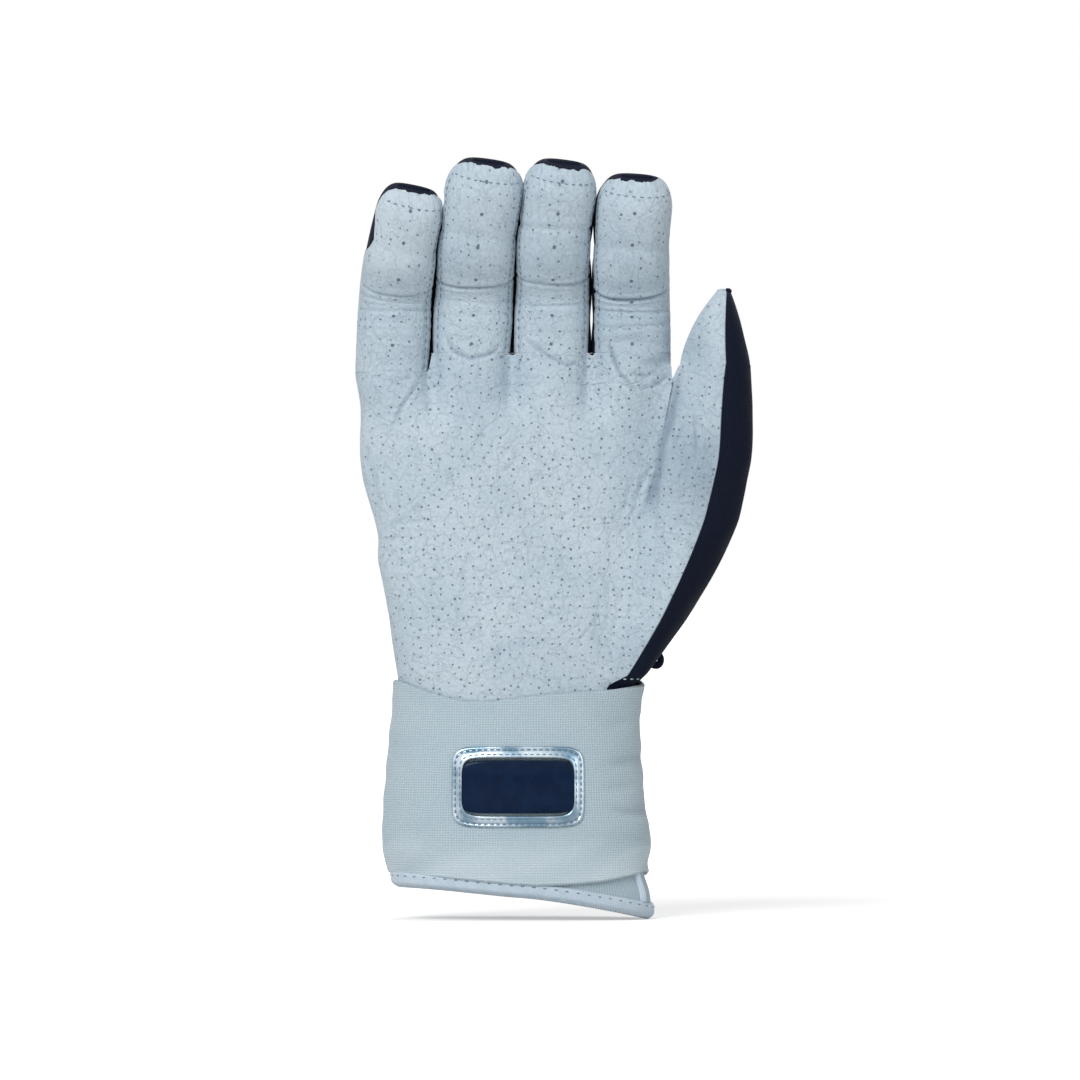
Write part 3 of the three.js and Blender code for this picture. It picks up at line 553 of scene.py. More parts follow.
def make_object(name, points, faces, material, loop_normals=None, **fields):
    mesh = bpy.data.meshes.new(name)
    mesh.from_pydata((points * MM).tolist(), [], faces)
    mesh.polygons.foreach_set("use_smooth", np.ones(len(mesh.polygons), bool))
    for field, values in fields.items():
        kind = "FLOAT_VECTOR" if values.ndim == 2 else "FLOAT"
        layer = mesh.attributes.new(field, kind, "POINT")
        layer.data.foreach_set("vector" if values.ndim == 2 else "value", values.astype(np.float32).ravel())
    mesh.materials.append(material)
    mesh.update()
    if loop_normals is not None:
        mesh.normals_split_custom_set(loop_normals.tolist())
    piece = bpy.data.objects.new(name, mesh)
    bpy.context.scene.collection.objects.link(piece)
    return piece


def ring_faces(rows, columns):
    """Faces of a grid that closes in both directions."""
    index = np.arange(rows * columns).reshape(rows, columns)
    after = np.roll(index, -1, 1)
    return np.stack([index, after, np.roll(after, -1, 0), np.roll(index, -1, 0)], -1).reshape(-1, 4)


def sheet(name, outer, thickness, material, out, flat=None, crease=0.0, vent=0.0, roll=(1, 1, 1, 1)):
    """A closed sheet from its outer grid. roll rounds its first row, last column, last row, first column."""
    rows, columns = outer.shape[:2]
    count = rows * columns
    normals = grid_normals(outer, out)
    inner = outer - normals * thickness
    index = np.arange(count).reshape(rows, columns)
    quads = np.stack([index[:-1, :-1], index[:-1, 1:], index[1:, 1:], index[1:, :-1]], -1).reshape(-1, 4)
    ring = np.concatenate([index[0, :-1], index[:-1, -1], index[-1, :0:-1], index[:0:-1, 0]])
    amount = np.repeat(np.array(roll, float), [columns - 1, rows - 1, columns - 1, rows - 1])
    shell, normal = outer.reshape(-1, 3), normals.reshape(-1, 3)
    tangent = unit(shell[np.roll(ring, -1)] - shell[np.roll(ring, 1)])
    edge = unit(np.cross(tangent, normal[ring]))
    face = shell[quads[:, 1]] - shell[quads[:, 0]], shell[quads[:, 3]] - shell[quads[:, 0]]
    turned = np.mean(np.sum(np.cross(*face) * normal[quads[:, 0]], -1)) < 0
    edge = -edge if turned else edge
    middle = (shell[ring] + inner.reshape(-1, 3)[ring]) / 2 + edge * (0.4 * thickness * amount)[:, None]
    points = np.concatenate([shell, inner.reshape(-1, 3), middle])
    mid = 2 * count + np.arange(len(ring))
    after, mid_after = np.roll(ring, -1), np.roll(mid, -1)
    upper = np.stack([after, ring, mid, mid_after], -1)
    lower = np.stack([mid_after, mid, ring + count, after + count], -1)
    faces = np.concatenate([quads, quads[:, ::-1] + count, upper, lower])
    edge_after, normal_ring = np.roll(edge, -1, 0), normal[ring]
    lip, lip_after = unit(normal_ring + edge), unit(np.roll(normal_ring + edge, -1, 0))
    under, under_after = unit(edge - normal_ring), unit(np.roll(edge - normal_ring, -1, 0))
    lips = np.stack([lip_after, lip, edge, edge_after], 1)
    unders = np.stack([edge_after, edge, under, under_after], 1)
    loops = np.concatenate([normal[quads], -normal[quads[:, ::-1]], lips, unders])
    if turned:
        faces, loops = faces[:, ::-1], loops[:, ::-1]
    if flat is None:
        centre = columns // 2
        side = travel_along(outer)
        flat = stack(side - side[:, centre:centre + 1], travel_along(outer[:, centre])[:, None], FAR)
    spots = np.concatenate([index.ravel(), index.ravel(), ring])
    # crease carries painted shade into the material, darker in creases and on shaded parts, and painted
    # light where it is below 0.
    crease, vent = (np.broadcast_to(values, (rows, columns)).ravel()[spots] for values in (crease, vent))
    return make_object(name, points, faces.tolist(), material, loops.reshape(-1, 3),
                       flat=flat.reshape(-1, 3)[spots], crease=crease, vent=vent)


def bead(rings, spokes):
    """A small round bead as points and faces, one unit in radius."""
    tilt = np.linspace(0, np.pi, rings + 1)[1:-1, None]
    turn = np.linspace(0, 2 * np.pi, spokes, endpoint=False)[None]
    ball = stack(np.cos(tilt), np.sin(tilt) * np.cos(turn), np.sin(tilt) * np.sin(turn)).reshape(-1, 3)
    points = np.concatenate([ball, [[1, 0, 0], [-1, 0, 0]]])
    faces, rows = [], rings - 1
    for k in range(spokes):
        after = (k + 1) % spokes
        faces.append((rows * spokes, after, k))
        faces.append((rows * spokes + 1, (rows - 1) * spokes + k, (rows - 1) * spokes + after))
        for low in range(0, (rows - 1) * spokes, spokes):
            faces.append((low + k, low + after, low + spokes + after, low + spokes + k))
    return points, [face[::-1] for face in faces]


BEAD = bead(5, 8)


def sample(at, travel, values):
    """Vectors given along a path, read at these distances."""
    return np.stack([np.interp(at, travel, values[:, k]) for k in range(3)], -1)


def stitches(name, paths, material, pitch, length, width, height):
    """A row of thread stitches along each path of (points, normals)."""
    points, faces, total = [], [], 0
    ball = BEAD[0] * (length / 2, width / 2, height)
    reach = 0.3
    for path, normals in paths:
        travel = travel_along(path)
        count = max(1, int(travel[-1] / pitch))
        at = (np.arange(count) + 0.5) * travel[-1] / count
        up = unit(sample(at, travel, normals))
        along = unit(sample(at + reach, travel, path) - sample(at - reach, travel, path))
        beside = unit(np.cross(up, along))
        block = sample(at, travel, path)[:, None]
        for k, axis in enumerate((along, beside, up)):
            block = block + ball[None, :, k:k + 1] * axis[:, None]
        points.append(block.reshape(-1, 3))
        for k in range(count):
            faces.extend(tuple(total + k * len(ball) + corner for corner in face) for face in BEAD[1])
        total += count * len(ball)
    return make_object(name, np.concatenate(points), faces, material)


def srgb(red, green, blue):
    """A colour as the eye reads it, from 0 to 255, as a linear RGBA value."""
    parts = [c / 255 for c in (red, green, blue)]
    return tuple(c / 12.92 if c < 0.04045 else ((c + 0.055) / 1.055) ** 2.4 for c in parts) + (1.0,)


class Nodes:
    """Short ways to add nodes to a shader tree."""

    def __init__(self, tree):
        self.tree = tree

    def feed(self, socket, value):
        if isinstance(value, bpy.types.NodeSocket):
            self.tree.links.new(value, socket)
        else:
            socket.default_value = value

    def node(self, kind, inputs, **settings):
        node = self.tree.nodes.new(kind)
        for key, value in settings.items():
            setattr(node, key, value)
        for key, value in inputs.items():
            self.feed(node.inputs[key], value)
        return node

    def math(self, operation, *values):
        return self.node("ShaderNodeMath", dict(enumerate(values)), operation=operation).outputs[0]

    def ramp(self, value, low, high, start=0.0, end=1.0):
        inputs = {"Value": value, "From Min": low, "From Max": high, "To Min": start, "To Max": end}
        return self.node("ShaderNodeMapRange", inputs, interpolation_type="SMOOTHSTEP").outputs[0]


class Look(Nodes):
    """A Principled material and the patterns for it."""

    def __init__(self, name, **sockets):
        self.material = bpy.data.materials.new(name)
        self.material.use_nodes = True
        super().__init__(self.material.node_tree)
        self.shader = next(n for n in self.tree.nodes if n.type == "BSDF_PRINCIPLED")
        for key, value in sockets.items():
            self.shader.inputs[key.replace("_", " ")].default_value = value

    def field(self, name, output="Vector"):
        return self.node("ShaderNodeAttribute", {}, attribute_name=name).outputs[output]

    def mix(self, factor, a, b):
        return self.node("ShaderNodeMix", {0: factor, 6: a, 7: b}, data_type="RGBA").outputs[2]

    def noise(self, vector, scale, detail=2.0, dimensions="2D"):
        inputs = {"Vector": vector, "Scale": scale, "Detail": detail}
        return self.node("ShaderNodeTexNoise", inputs, noise_dimensions=dimensions).outputs[0]

    def cells(self, vector, scale, feature="F1", randomness=1.0):
        inputs = {"Vector": vector, "Scale": scale, "Randomness": randomness}
        return self.node("ShaderNodeTexVoronoi", inputs, voronoi_dimensions="2D", feature=feature)

    def parts(self, vector):
        return self.node("ShaderNodeSeparateXYZ", {0: vector}).outputs

    def wave(self, value, length):
        """A ripple from 0 to 1 with this wavelength."""
        turn = self.math("SINE", self.math("MULTIPLY", value, 2 * math.pi / length))
        return self.math("MULTIPLY_ADD", turn, 0.5, 0.5)

    def finish(self, colour, height, depth, strength=1.0, roughness=None):
        self.feed(self.shader.inputs["Base Color"], colour)
        bump = self.node("ShaderNodeBump", {"Height": height, "Distance": depth * MM, "Strength": strength})
        self.feed(self.shader.inputs["Normal"], bump.outputs[0])
        if roughness is not None:
            self.feed(self.shader.inputs["Roughness"], roughness)
        return self.material


def leather_look():
    look = Look("perforated_leather", Specular_IOR_Level=0.3, Sheen_Weight=0.15, Sheen_Roughness=0.5)
    flat = look.field("flat")
    spot = look.cells(flat, 1 / 3.1, randomness=0.75)
    kept = look.math("LESS_THAN", look.parts(spot.outputs["Color"])[0], look.field("vent", "Fac"))
    size = look.math("MULTIPLY_ADD", look.parts(spot.outputs["Color"])[1], 0.4, 0.8)
    near = look.math("MULTIPLY", spot.outputs["Distance"], size)
    bold = look.math("MULTIPLY_ADD", look.parts(spot.outputs["Color"])[2], 0.5, 0.5)
    vents = look.math("MULTIPLY", look.ramp(near, 0.065, 0.11, 1.0, 0.0), look.math("MULTIPLY", kept, bold))
    _, along, away = look.parts(flat)
    step = look.math("SUBTRACT", look.math("MODULO", along, 9.7), 4.0)
    reach = look.math("SQRT", look.math("ADD", look.math("POWER", step, 2.0), look.math("POWER", away, 2.0)))
    holes = look.math("MAXIMUM", vents, look.ramp(reach, 0.35, 0.62, 1.0, 0.0))
    cloud = look.noise(flat, 0.045, 3.0)
    grain = look.cells(flat, 1.15)
    fine = look.noise(flat, 0.9, 5.0)
    folds = look.noise(flat, 0.16, 5.0)
    line = look.ramp(look.math("ABSOLUTE", look.math("SUBTRACT", folds, 0.5)), 0.0, 0.022, 1.0, 0.0)
    tone = look.mix(look.ramp(cloud, 0.3, 0.7), srgb(177, 194, 206), srgb(187, 202, 212))
    tone = look.mix(look.ramp(fine, 0.35, 0.7, 0.0, 0.36), tone, srgb(148, 167, 182))
    # Painted shade in the fine fold lines, which the bump below also draws.
    tone = look.mix(look.math("MULTIPLY", line, 0.18), tone, srgb(120, 140, 156))
    # Painted shade where the crease field is above 0, and painted light where it is below 0.
    tone = look.mix(look.ramp(look.field("crease", "Fac"), 0.15, 1.1, 0.0, 0.62), tone, srgb(104, 124, 143))
    tone = look.mix(look.ramp(look.field("crease", "Fac"), -0.8, 0.0, 0.85, 0.0), tone, srgb(216, 225, 231))
    tone = look.mix(look.math("MULTIPLY", holes, 0.85), tone, srgb(74, 92, 108))
    skin = look.math("MULTIPLY_ADD", grain.outputs["Distance"], 0.35, look.math("MULTIPLY", fine, 0.7))
    skin = look.math("MULTIPLY_ADD", line, -0.35, skin)
    height = look.math("MULTIPLY_ADD", holes, -1.6, skin)
    return look.finish(tone, height, 0.3, 0.85, look.ramp(fine, 0.3, 0.7, 0.5, 0.68))


def stretch_look(name, dark, pale, length, shine):
    look = Look(name, Specular_IOR_Level=shine, Sheen_Weight=shine / 4, Sheen_Roughness=0.4)
    flat = look.field("flat")
    across, along, _ = look.parts(flat)
    ribs = look.wave(across, length)
    rows = look.wave(along, length * 0.8)
    knit = look.math("MULTIPLY", ribs, look.math("MULTIPLY_ADD", rows, 0.5, 0.5))
    cloud = look.noise(flat, 0.08, 3.0)
    tone = look.mix(look.ramp(knit, 0.1, 0.9), dark, pale)
    tone = look.mix(look.ramp(cloud, 0.4, 0.7, 0.0, 0.35), tone, pale)
    return look.finish(tone, knit, 0.16, 0.7, look.ramp(cloud, 0.3, 0.7, 0.55, 0.75))


def elastic_look():
    look = Look("rib_elastic", Specular_IOR_Level=0.25, Sheen_Weight=0.3, Sheen_Roughness=0.5)
    flat = look.field("flat")
    across, along, _ = look.parts(flat)
    drift = look.math("MULTIPLY", look.math("SUBTRACT", look.noise(flat, 0.25), 0.5), 0.4)
    cords = look.wave(look.math("ADD", across, drift), 0.85)
    picks = look.wave(look.math("ADD", along, drift), 0.78)
    raised = [look.math("MULTIPLY_ADD", wave, 0.6, 0.4) for wave in (cords, picks)]
    weave = look.math("MULTIPLY", *raised)
    cloud = look.noise(flat, 0.06, 3.0)
    tone = look.mix(look.ramp(weave, 0.15, 0.8), srgb(164, 183, 193), srgb(190, 207, 215))
    tone = look.mix(look.ramp(cloud, 0.4, 0.75, 0.0, 0.4), tone, srgb(168, 187, 197))
    # Painted shade where the crease field is above 0, and painted light where it is below 0.
    tone = look.mix(look.ramp(look.field("crease", "Fac"), 0.1, 1.0, 0.0, 0.5), tone, srgb(120, 140, 155))
    tone = look.mix(look.ramp(look.field("crease", "Fac"), -0.8, 0.0, 0.85, 0.0), tone, srgb(212, 225, 232))
    return look.finish(tone, weave, 0.3, 0.75, look.ramp(cloud, 0.3, 0.7, 0.65, 0.8))


def binding_look():
    look = Look("binding_tape", Specular_IOR_Level=0.3, Sheen_Weight=0.3, Sheen_Roughness=0.45)
    flat = look.field("flat")
    across, along, _ = look.parts(flat)
    twill = look.wave(look.math("ADD", across, look.math("MULTIPLY", along, 0.8)), 0.8)
    cloud = look.noise(flat, 0.3, 3.0)
    tone = look.mix(look.ramp(twill, 0.1, 0.9), srgb(186, 204, 219), srgb(208, 222, 233))
    tone = look.mix(look.ramp(cloud, 0.4, 0.7, 0.0, 0.3), tone, srgb(174, 193, 209))
    return look.finish(tone, twill, 0.2, 0.6, look.ramp(cloud, 0.3, 0.7, 0.5, 0.65))


def vinyl_look():
    look = Look("silver_vinyl", Metallic=0.95)
    flat = look.field("flat")
    grain = look.noise(flat, 1.1, 3.0)
    dents_and_painted_reflections = look.noise(flat, 0.11, 2.0)
    # Painted reflection: the frame's colour goes from dark to bright in patches that follow the dents.
    tone = look.mix(look.ramp(dents_and_painted_reflections, 0.35, 0.65), srgb(128, 158, 179), srgb(206, 221, 231))
    height = look.math("MULTIPLY_ADD", dents_and_painted_reflections, 1.0, look.math("MULTIPLY", grain, 0.2))
    return look.finish(tone, height, 0.3, 0.4, look.ramp(grain, 0.3, 0.7, 0.14, 0.24))


def gloss_look():
    look = Look("gloss_navy", Coat_Weight=0.08, Coat_Roughness=0.05, Specular_IOR_Level=0.06)
    flat = look.field("flat")
    cloud = look.noise(flat, 0.2, 3.0)
    scuffs = look.noise(flat, 1.6, 4.0)
    tone = look.mix(look.ramp(cloud, 0.35, 0.65), srgb(9, 28, 54), srgb(12, 34, 62))
    return look.finish(tone, scuffs, 0.03, 0.25, look.ramp(scuffs, 0.35, 0.7, 0.12, 0.22))


def pile_look():
    look = Look("closure_pile", Sheen_Weight=0.5, Sheen_Roughness=0.4, Specular_IOR_Level=0.2)
    flat = look.field("flat")
    tufts = look.cells(flat, 1.3)
    fuzz = look.noise(flat, 2.6, 4.0)
    tone = look.mix(look.ramp(tufts.outputs["Distance"], 0.1, 0.8), srgb(40, 48, 62), srgb(22, 28, 40))
    height = look.math("SUBTRACT", look.math("MULTIPLY", fuzz, 0.6), tufts.outputs["Distance"])
    return look.finish(tone, height, 0.5, 0.9, look.ramp(fuzz, 0.3, 0.7, 0.75, 0.95))


def thread_look(name, dark, pale):
    look = Look(name, Sheen_Weight=0.25, Specular_IOR_Level=0.3)
    place = look.node("ShaderNodeTexCoord", {}).outputs["Object"]
    twist = look.node("ShaderNodeTexWave", {"Vector": place, "Scale": 1400.0, "Distortion": 2.0}).outputs[1]
    fuzz = look.noise(place, 900.0, 3.0, "3D")
    tone = look.mix(look.ramp(look.math("ADD", twist, fuzz), 0.4, 1.5), dark, pale)
    return look.finish(tone, twist, 0.08, 0.6, look.ramp(fuzz, 0.3, 0.7, 0.5, 0.7))


LEATHER_LOOK = leather_look()
NAVY_LOOK = stretch_look("navy_stretch", srgb(12, 17, 31), srgb(26, 33, 51), 0.8, 0.06)
GUSSET_LOOK = stretch_look("gusset_stretch", srgb(13, 18, 30), srgb(26, 33, 48), 0.7, 0.06)
CUFF_LOOK = stretch_look("cuff_knit", srgb(158, 177, 188), srgb(184, 201, 210), 0.9, 0.25)
ELASTIC_LOOK = elastic_look()
BINDING_LOOK = binding_look()
VINYL_LOOK = vinyl_look()
GLOSS_LOOK = gloss_look()
PILE_LOOK = pile_look()
BLUE_THREAD = thread_look("slate_thread", srgb(92, 114, 134), srgb(136, 154, 170))
NAVY_THREAD = thread_look("navy_thread", srgb(26, 33, 50), srgb(48, 58, 78))
SILVER_THREAD = thread_look("silver_thread", srgb(92, 122, 146), srgb(150, 176, 194))


def metres(point):
    return Vector([float(c) * MM for c in point])


def root_blend(piece, f):
    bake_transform(piece)


def knuckle_blend(piece, f):
    centre, along = f.spine(np.array(KNUCKLE)), f.tangent(np.array(KNUCKLE))
    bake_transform(piece)


def seam_groove(f, degrees, low, high):
    """The shallow groove that a row of stitches draws into the leather."""
    groove = np.zeros_like(degrees)
    if f.name != "index":
        groove = groove - hump(degrees - low - STITCH_INSET, GROOVE_WIDTH)
    if f.name != "little":
        groove = groove - hump(high - degrees - STITCH_INSET, GROOVE_WIDTH)
    return GROOVE_DEPTH * groove


def finger_shade(f, s):
    """Painted shade and painted light in a finger's leather colour, by the distance s from its root."""
    joint = smooth(s, f.runs[0] + 2, f.runs[0] + 8) * (1 - smooth(s, f.runs[0] + 14, f.runs[0] + 24))
    base = 1 - smooth(s, f.runs[0] - 4, f.runs[0] + 4)
    tip = smooth(s, f.runs[0] + 10, f.runs[0] + 20)
    return JOINT_SHADE[f.name] * joint + BASE_SHADE[f.name] * base - TIP_LIGHT[f.name] * tip


def finger_pattern(f, u, outer, front):
    """A strip's points laid flat: across, along, and the distance from the middle line for its air holes."""
    across, forward = f.axes(u)
    from_spine = outer - f.spine(u)
    away = np.sum(from_spine * across, -1)
    depth = np.sum(from_spine * forward, -1)
    depth = depth if front else np.abs(depth)
    arc = away + np.sign(away) * np.maximum(f.half(u)[1] - depth, 0) * (FRONT_SHARE if front else BACK_SHARE)
    return stack(f.spine(u)[..., 0] + arc, f.root + f.length(u), away if front else FAR)


def finger_strip(f, tag, edges, thickness, material, columns, out, top, lift=None):
    """One strip of a finger, as a root piece and an upper piece. edges(u) gives its two angles."""
    front = tag == "front"
    split = ROOT_LENGTH / (3 * f.runs[0])
    t = np.linspace(0, 1, columns)[None]
    noise = np.random.default_rng(len(tag) + ORDER.index(f.name))
    ragged = np.convolve(noise.normal(0, 1, columns + 3), np.ones(4) / 4, "valid")
    end = np.full(columns, top)
    if front:
        drawn = END_DRAW * np.abs(2 * t[0] - 1) ** 8 * ((t[0] > 0.5) | (f.name != ORDER[-1]))
        end = np.minimum(TIP_LIMIT, top + END_RAGGED * ragged - drawn)
    for part, rows in (("_root", np.linspace(0, split, 14)), ("", np.linspace(split, 1, 90))):
        u = np.broadcast_to(rows[:, None], (len(rows), columns)).copy()
        if not part:
            u = split + (u - split) * (end - split) / (1 - split)
        low, high = edges(u)
        degrees = low + (high - low) * t
        raised = np.zeros_like(u) if lift is None else lift(u, np.broadcast_to(t, u.shape))
        relief = f.relief(degrees, u) + seam_groove(f, degrees, low, high) if front else np.zeros_like(u)
        if tag == "back":
            joint = f.length(u) - f.runs[0]
            ribs = sum(crease_shape(joint - at, RIB_DEPTH, RIB_WIDTH) for at in RIBS)
            relief = ribs * smooth(-np.sin(np.radians(degrees)), 0.6, 0.95)
        outer = f.point(degrees, u, raised + relief)
        if front:
            root_folds = root_relief(outer[..., 0], outer[..., 2])
            outer[..., 1] -= root_folds
            relief = relief + root_folds
        flat = finger_pattern(f, u, outer, front)
        # dark is painted shade in the creases and on the finger's shaded parts, and painted light towards
        # the tip where it falls below 0.
        dark = np.clip(-relief / 0.8, 0, 1.3) + (finger_shade(f, f.length(u)) if front else 0)
        roll = (0, 1, 0 if part else 1, 1)
        piece = sheet(f"{f.name}_{tag}{part}", outer, thickness, material, out, flat, dark, 0.5, roll)
        (root_blend if part else knuckle_blend)(piece, f)
    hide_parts(f"{f.name}_{tag}_base")
    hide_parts(f"{f.name}_{tag}_tip")


def side_gap(f, g, z):
    """Distance between the facing sides of two neighbouring fingers at height z."""
    rows = np.linspace(0, 1, 200)
    edges = []
    for finger, sign in ((f, 1), (g, -1)):
        place = finger.spine(rows)
        wide, _ = finger.half(rows)
        edges.append(np.interp(z, place[:, 2], place[:, 0] + sign * wide))
    return edges[1] - edges[0]


def leather_lap(f, u, t):
    """How far the leather stands off a finger: more where the slit leaves room. t = 0 is its right edge."""
    k = ORDER.index(f.name)
    z = f.spine(u)[..., 2]
    lap = np.full(np.shape(u), LEATHER_LAP)
    for other, near in ((k + 1, 1 - t), (k - 1, t)):
        if 0 <= other < 4 and min(k, other) < 2:
            pair = [fingers[ORDER[place]] for place in sorted((k, other))]
            bulge = np.clip(side_gap(*pair, z) / 2 - LEAST_GAP, 0, LEAST_GAP) * smooth(f.length(u), 0, 5)
            lap = lap + bulge * smooth(near, 0.7, 0.97)
    return lap


def build_finger(name):
    f = fingers[name]
    k = ORDER.index(name)
    left, right = (ORDER[k - 1] if k else None), (ORDER[k + 1] if k < 3 else None)
    top = 1 - TIP_BAND[name] / (3 * f.runs[2])

    def front_edges(u):
        wrap = lerp(FRONT_EDGE, 3.0, smooth(u, 0.45, 0.75))
        low = wrap if right else np.full_like(u, -OUTER_EDGE)
        high = 180 - wrap
        if not left:
            high = np.interp(u, *LITTLE_EDGE)
        return low, high

    def back_edges(u):
        low = np.full_like(u, BACK_START)
        high = np.full_like(u, BACK_EDGE if right else BACK_OUTER)
        if not left:
            low = np.interp(u, *LITTLE_EDGE) - 4
        return low, high

    finger_strip(f, "front", front_edges, LEATHER, LEATHER_LOOK, 56, (0, -1, 0), top,
                 lambda u, t: leather_lap(f, u, t))
    finger_strip(f, "back", back_edges, STRETCH, NAVY_LOOK, 34, (0, 1, 0), 1.0)
    for other, side in ((left, "left"), (right, "right")):
        if not other:
            continue
        pair = (f, fingers[other]) if side == "right" else (fingers[other], f)
        open_slits = 0.95 if {name, other} == {"middle", "index"} else 0.0

        def swell(u, t):
            z = f.spine(u)[..., 2]
            slits = open_slits * (hump(z - 207.5, 4.5) + 0.45 * hump(z - 187, 4))
            amount = np.clip(side_gap(*pair, z) / 2 * (1 - slits) + 0.05, 0, BULGE_LIMIT)
            ends = min(f.spine(np.array(1.0))[2] for f in pair)
            return amount * np.sin(np.pi * t) ** 0.45 * (1 - smooth(z, ends - 9, ends - 3))

        span = (-34.0, FRONT_EDGE + 3) if side == "right" else (177 - FRONT_EDGE, 214.0)
        out = (1, 0, 0) if side == "right" else (-1, 0, 0)
        finger_strip(f, "gusset_" + side, lambda u: (np.full_like(u, span[0]), np.full_like(u, span[1])),
                     STRETCH, GUSSET_LOOK, 16, out, 1.0, swell)
    build_tip(f, top)
    build_finger_stitches(f, front_edges, top)


def build_tip(f, top):
    """The navy wrap over a fingertip."""
    degrees = np.linspace(2, 178, 44)[None]
    front = f.point(degrees, np.linspace(top - 0.06, 1, 14)[:, None])
    across, forward = f.axes(np.array(1.0))
    along = np.cross(forward, across)
    turn = np.linspace(0, np.pi, 10)[1:, None]
    angle = np.radians(degrees)
    side = TIP_HALF_WIDTH * spread(np.cos(angle), FINGER_SQUARE) + 0 * turn
    deep = TIP_HALF_DEPTH * np.sin(angle) ** FINGER_SQUARE * np.cos(turn)
    rise = TIP_DOME * np.sin(turn) * np.sin(angle) ** 0.5
    moves = ((side, across), (deep, forward), (rise, along))
    dome = f.spine(np.array(1.0)) + sum(part[..., None] * axis for part, axis in moves)
    wrap = sheet(f.name + "_tip_wrap", np.concatenate([front, dome]), STRETCH * 0.8, NAVY_LOOK, (0, -1, 0))
    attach(wrap, f.name + "_tip")


def build_finger_stitches(f, edges, top):
    """Stitches a little inside the leather's edges, and across its tip."""
    split = ROOT_LENGTH / (3 * f.runs[0])

    def row(u, degrees, sunk):
        low, high = edges(u)
        lift = leather_lap(f, u, (degrees - low) / (high - low)) + f.relief(degrees, u) - sunk + 0.12
        points = f.point(degrees, u, lift)
        return points, unit(points - f.spine(u))

    for part, u in (("_root", np.linspace(0.01, split, 20)), ("", np.linspace(split, top - 0.075, 120))):
        low, high = edges(u)
        paths = []
        if f.name != "index":
            paths.append(row(u, low + STITCH_INSET, GROOVE_DEPTH))
        if f.name != "little":
            paths.append(row(u, high - STITCH_INSET, GROOVE_DEPTH))
        if not part:
            cross = np.linspace(low[-1] + STITCH_INSET + 4, high[-1] - STITCH_INSET - 4, 40)
            paths.append(row(np.full(40, top - 3.4 / (3 * f.runs[2])), cross, 0))
        piece = stitches(f"{f.name}_stitches{part}", paths, BLUE_THREAD, *FINGER_STITCH)
        (root_blend if part else knuckle_blend)(piece, f)


PALM_EDGE_TURN, LEVEL_Z, ROOT_STEP, BACK_STEP = 0.49, 168.0, -27.9, -29.2
SLIT_NOTCH, NOTCH_WIDTH = 1.1, 0.65


def root_top(x, notch=0.0, step=ROOT_STEP):
    """Height of the palm's upper edge: the finger roots, with a notch in each slit."""
    top = 170.0 + 6 * smooth(x, step, step + 1.5)
    for left, right in zip(ORDER[1:-1], ORDER[2:]):
        f, g = fingers[left], fingers[right]
        centre = (f.x + f.width / 2 + g.x - g.width / 2) / 2
        top = top - notch * hump(x - centre, NOTCH_WIDTH)
    return top


# Seams down the back of the hand, as (x, z) at their ends.
BACK_SEAMS = [((-27.1, 166), (-15, 90)), ((-1.8, 168), (-1, 90)), ((22.8, 168), (13, 90))]
SEAM_DEPTH, SEAM_WIDTH, SEAM_SIDE = 0.5, 0.9, 1.7


def back_seam_x(ends, z):
    (x_high, high), (x_low, low) = ends
    return lerp(x_low, x_high, (z - low) / (high - low))


def back_relief(x, z):
    """Grooves of the seams on the back of the hand."""
    fade = smooth(z, 86, 93) * (1 - smooth(z, 160, 166))
    return fade * sum(crease_shape(x - back_seam_x(ends, z), SEAM_DEPTH, SEAM_WIDTH) for ends in BACK_SEAMS)


def build_back_stitches():
    """A row of stitches on each side of the back's seams."""
    paths = []
    z = np.linspace(92, 161, 90)
    for ends in BACK_SEAMS:
        for side in (-SEAM_SIDE, SEAM_SIDE):
            x = back_seam_x(ends, z) + side
            middle, half, _ = palm_slice(z)
            height = palm_height((x - middle) / half, x, z, np.zeros_like(x, bool), 0.05)
            paths.append((stack(x, height + back_relief(x, z), z), np.tile([0, 1.0, 0], (len(z), 1))))
    row = stitches("back_stitches", paths, NAVY_THREAD, *BACK_STITCH)
    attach(row, "hand")


def root_shade(x, z):
    """The finger roots' painted shade, faded into the palm."""
    places = [f.x + side * f.width * 0.4 for f in fingers.values() for side in (-1, 1)]
    return np.interp(x, places, np.repeat(list(BASE_SHADE.values()), 2)) * smooth(z, 158, 175)


def edge_pattern(points):
    """X of the palm's points, with the edge that turns round the hand laid flat."""
    x = points[..., 0]
    step = np.diff(points, axis=1, append=points[:, -1:])
    outside = x.min(axis=1, keepdims=True)
    turned = (np.linalg.norm(step, axis=-1) - step[..., 0]) * (1 - smooth(x - outside, 3, 10))
    return x - np.cumsum(turned[:, ::-1], axis=1)[:, ::-1]


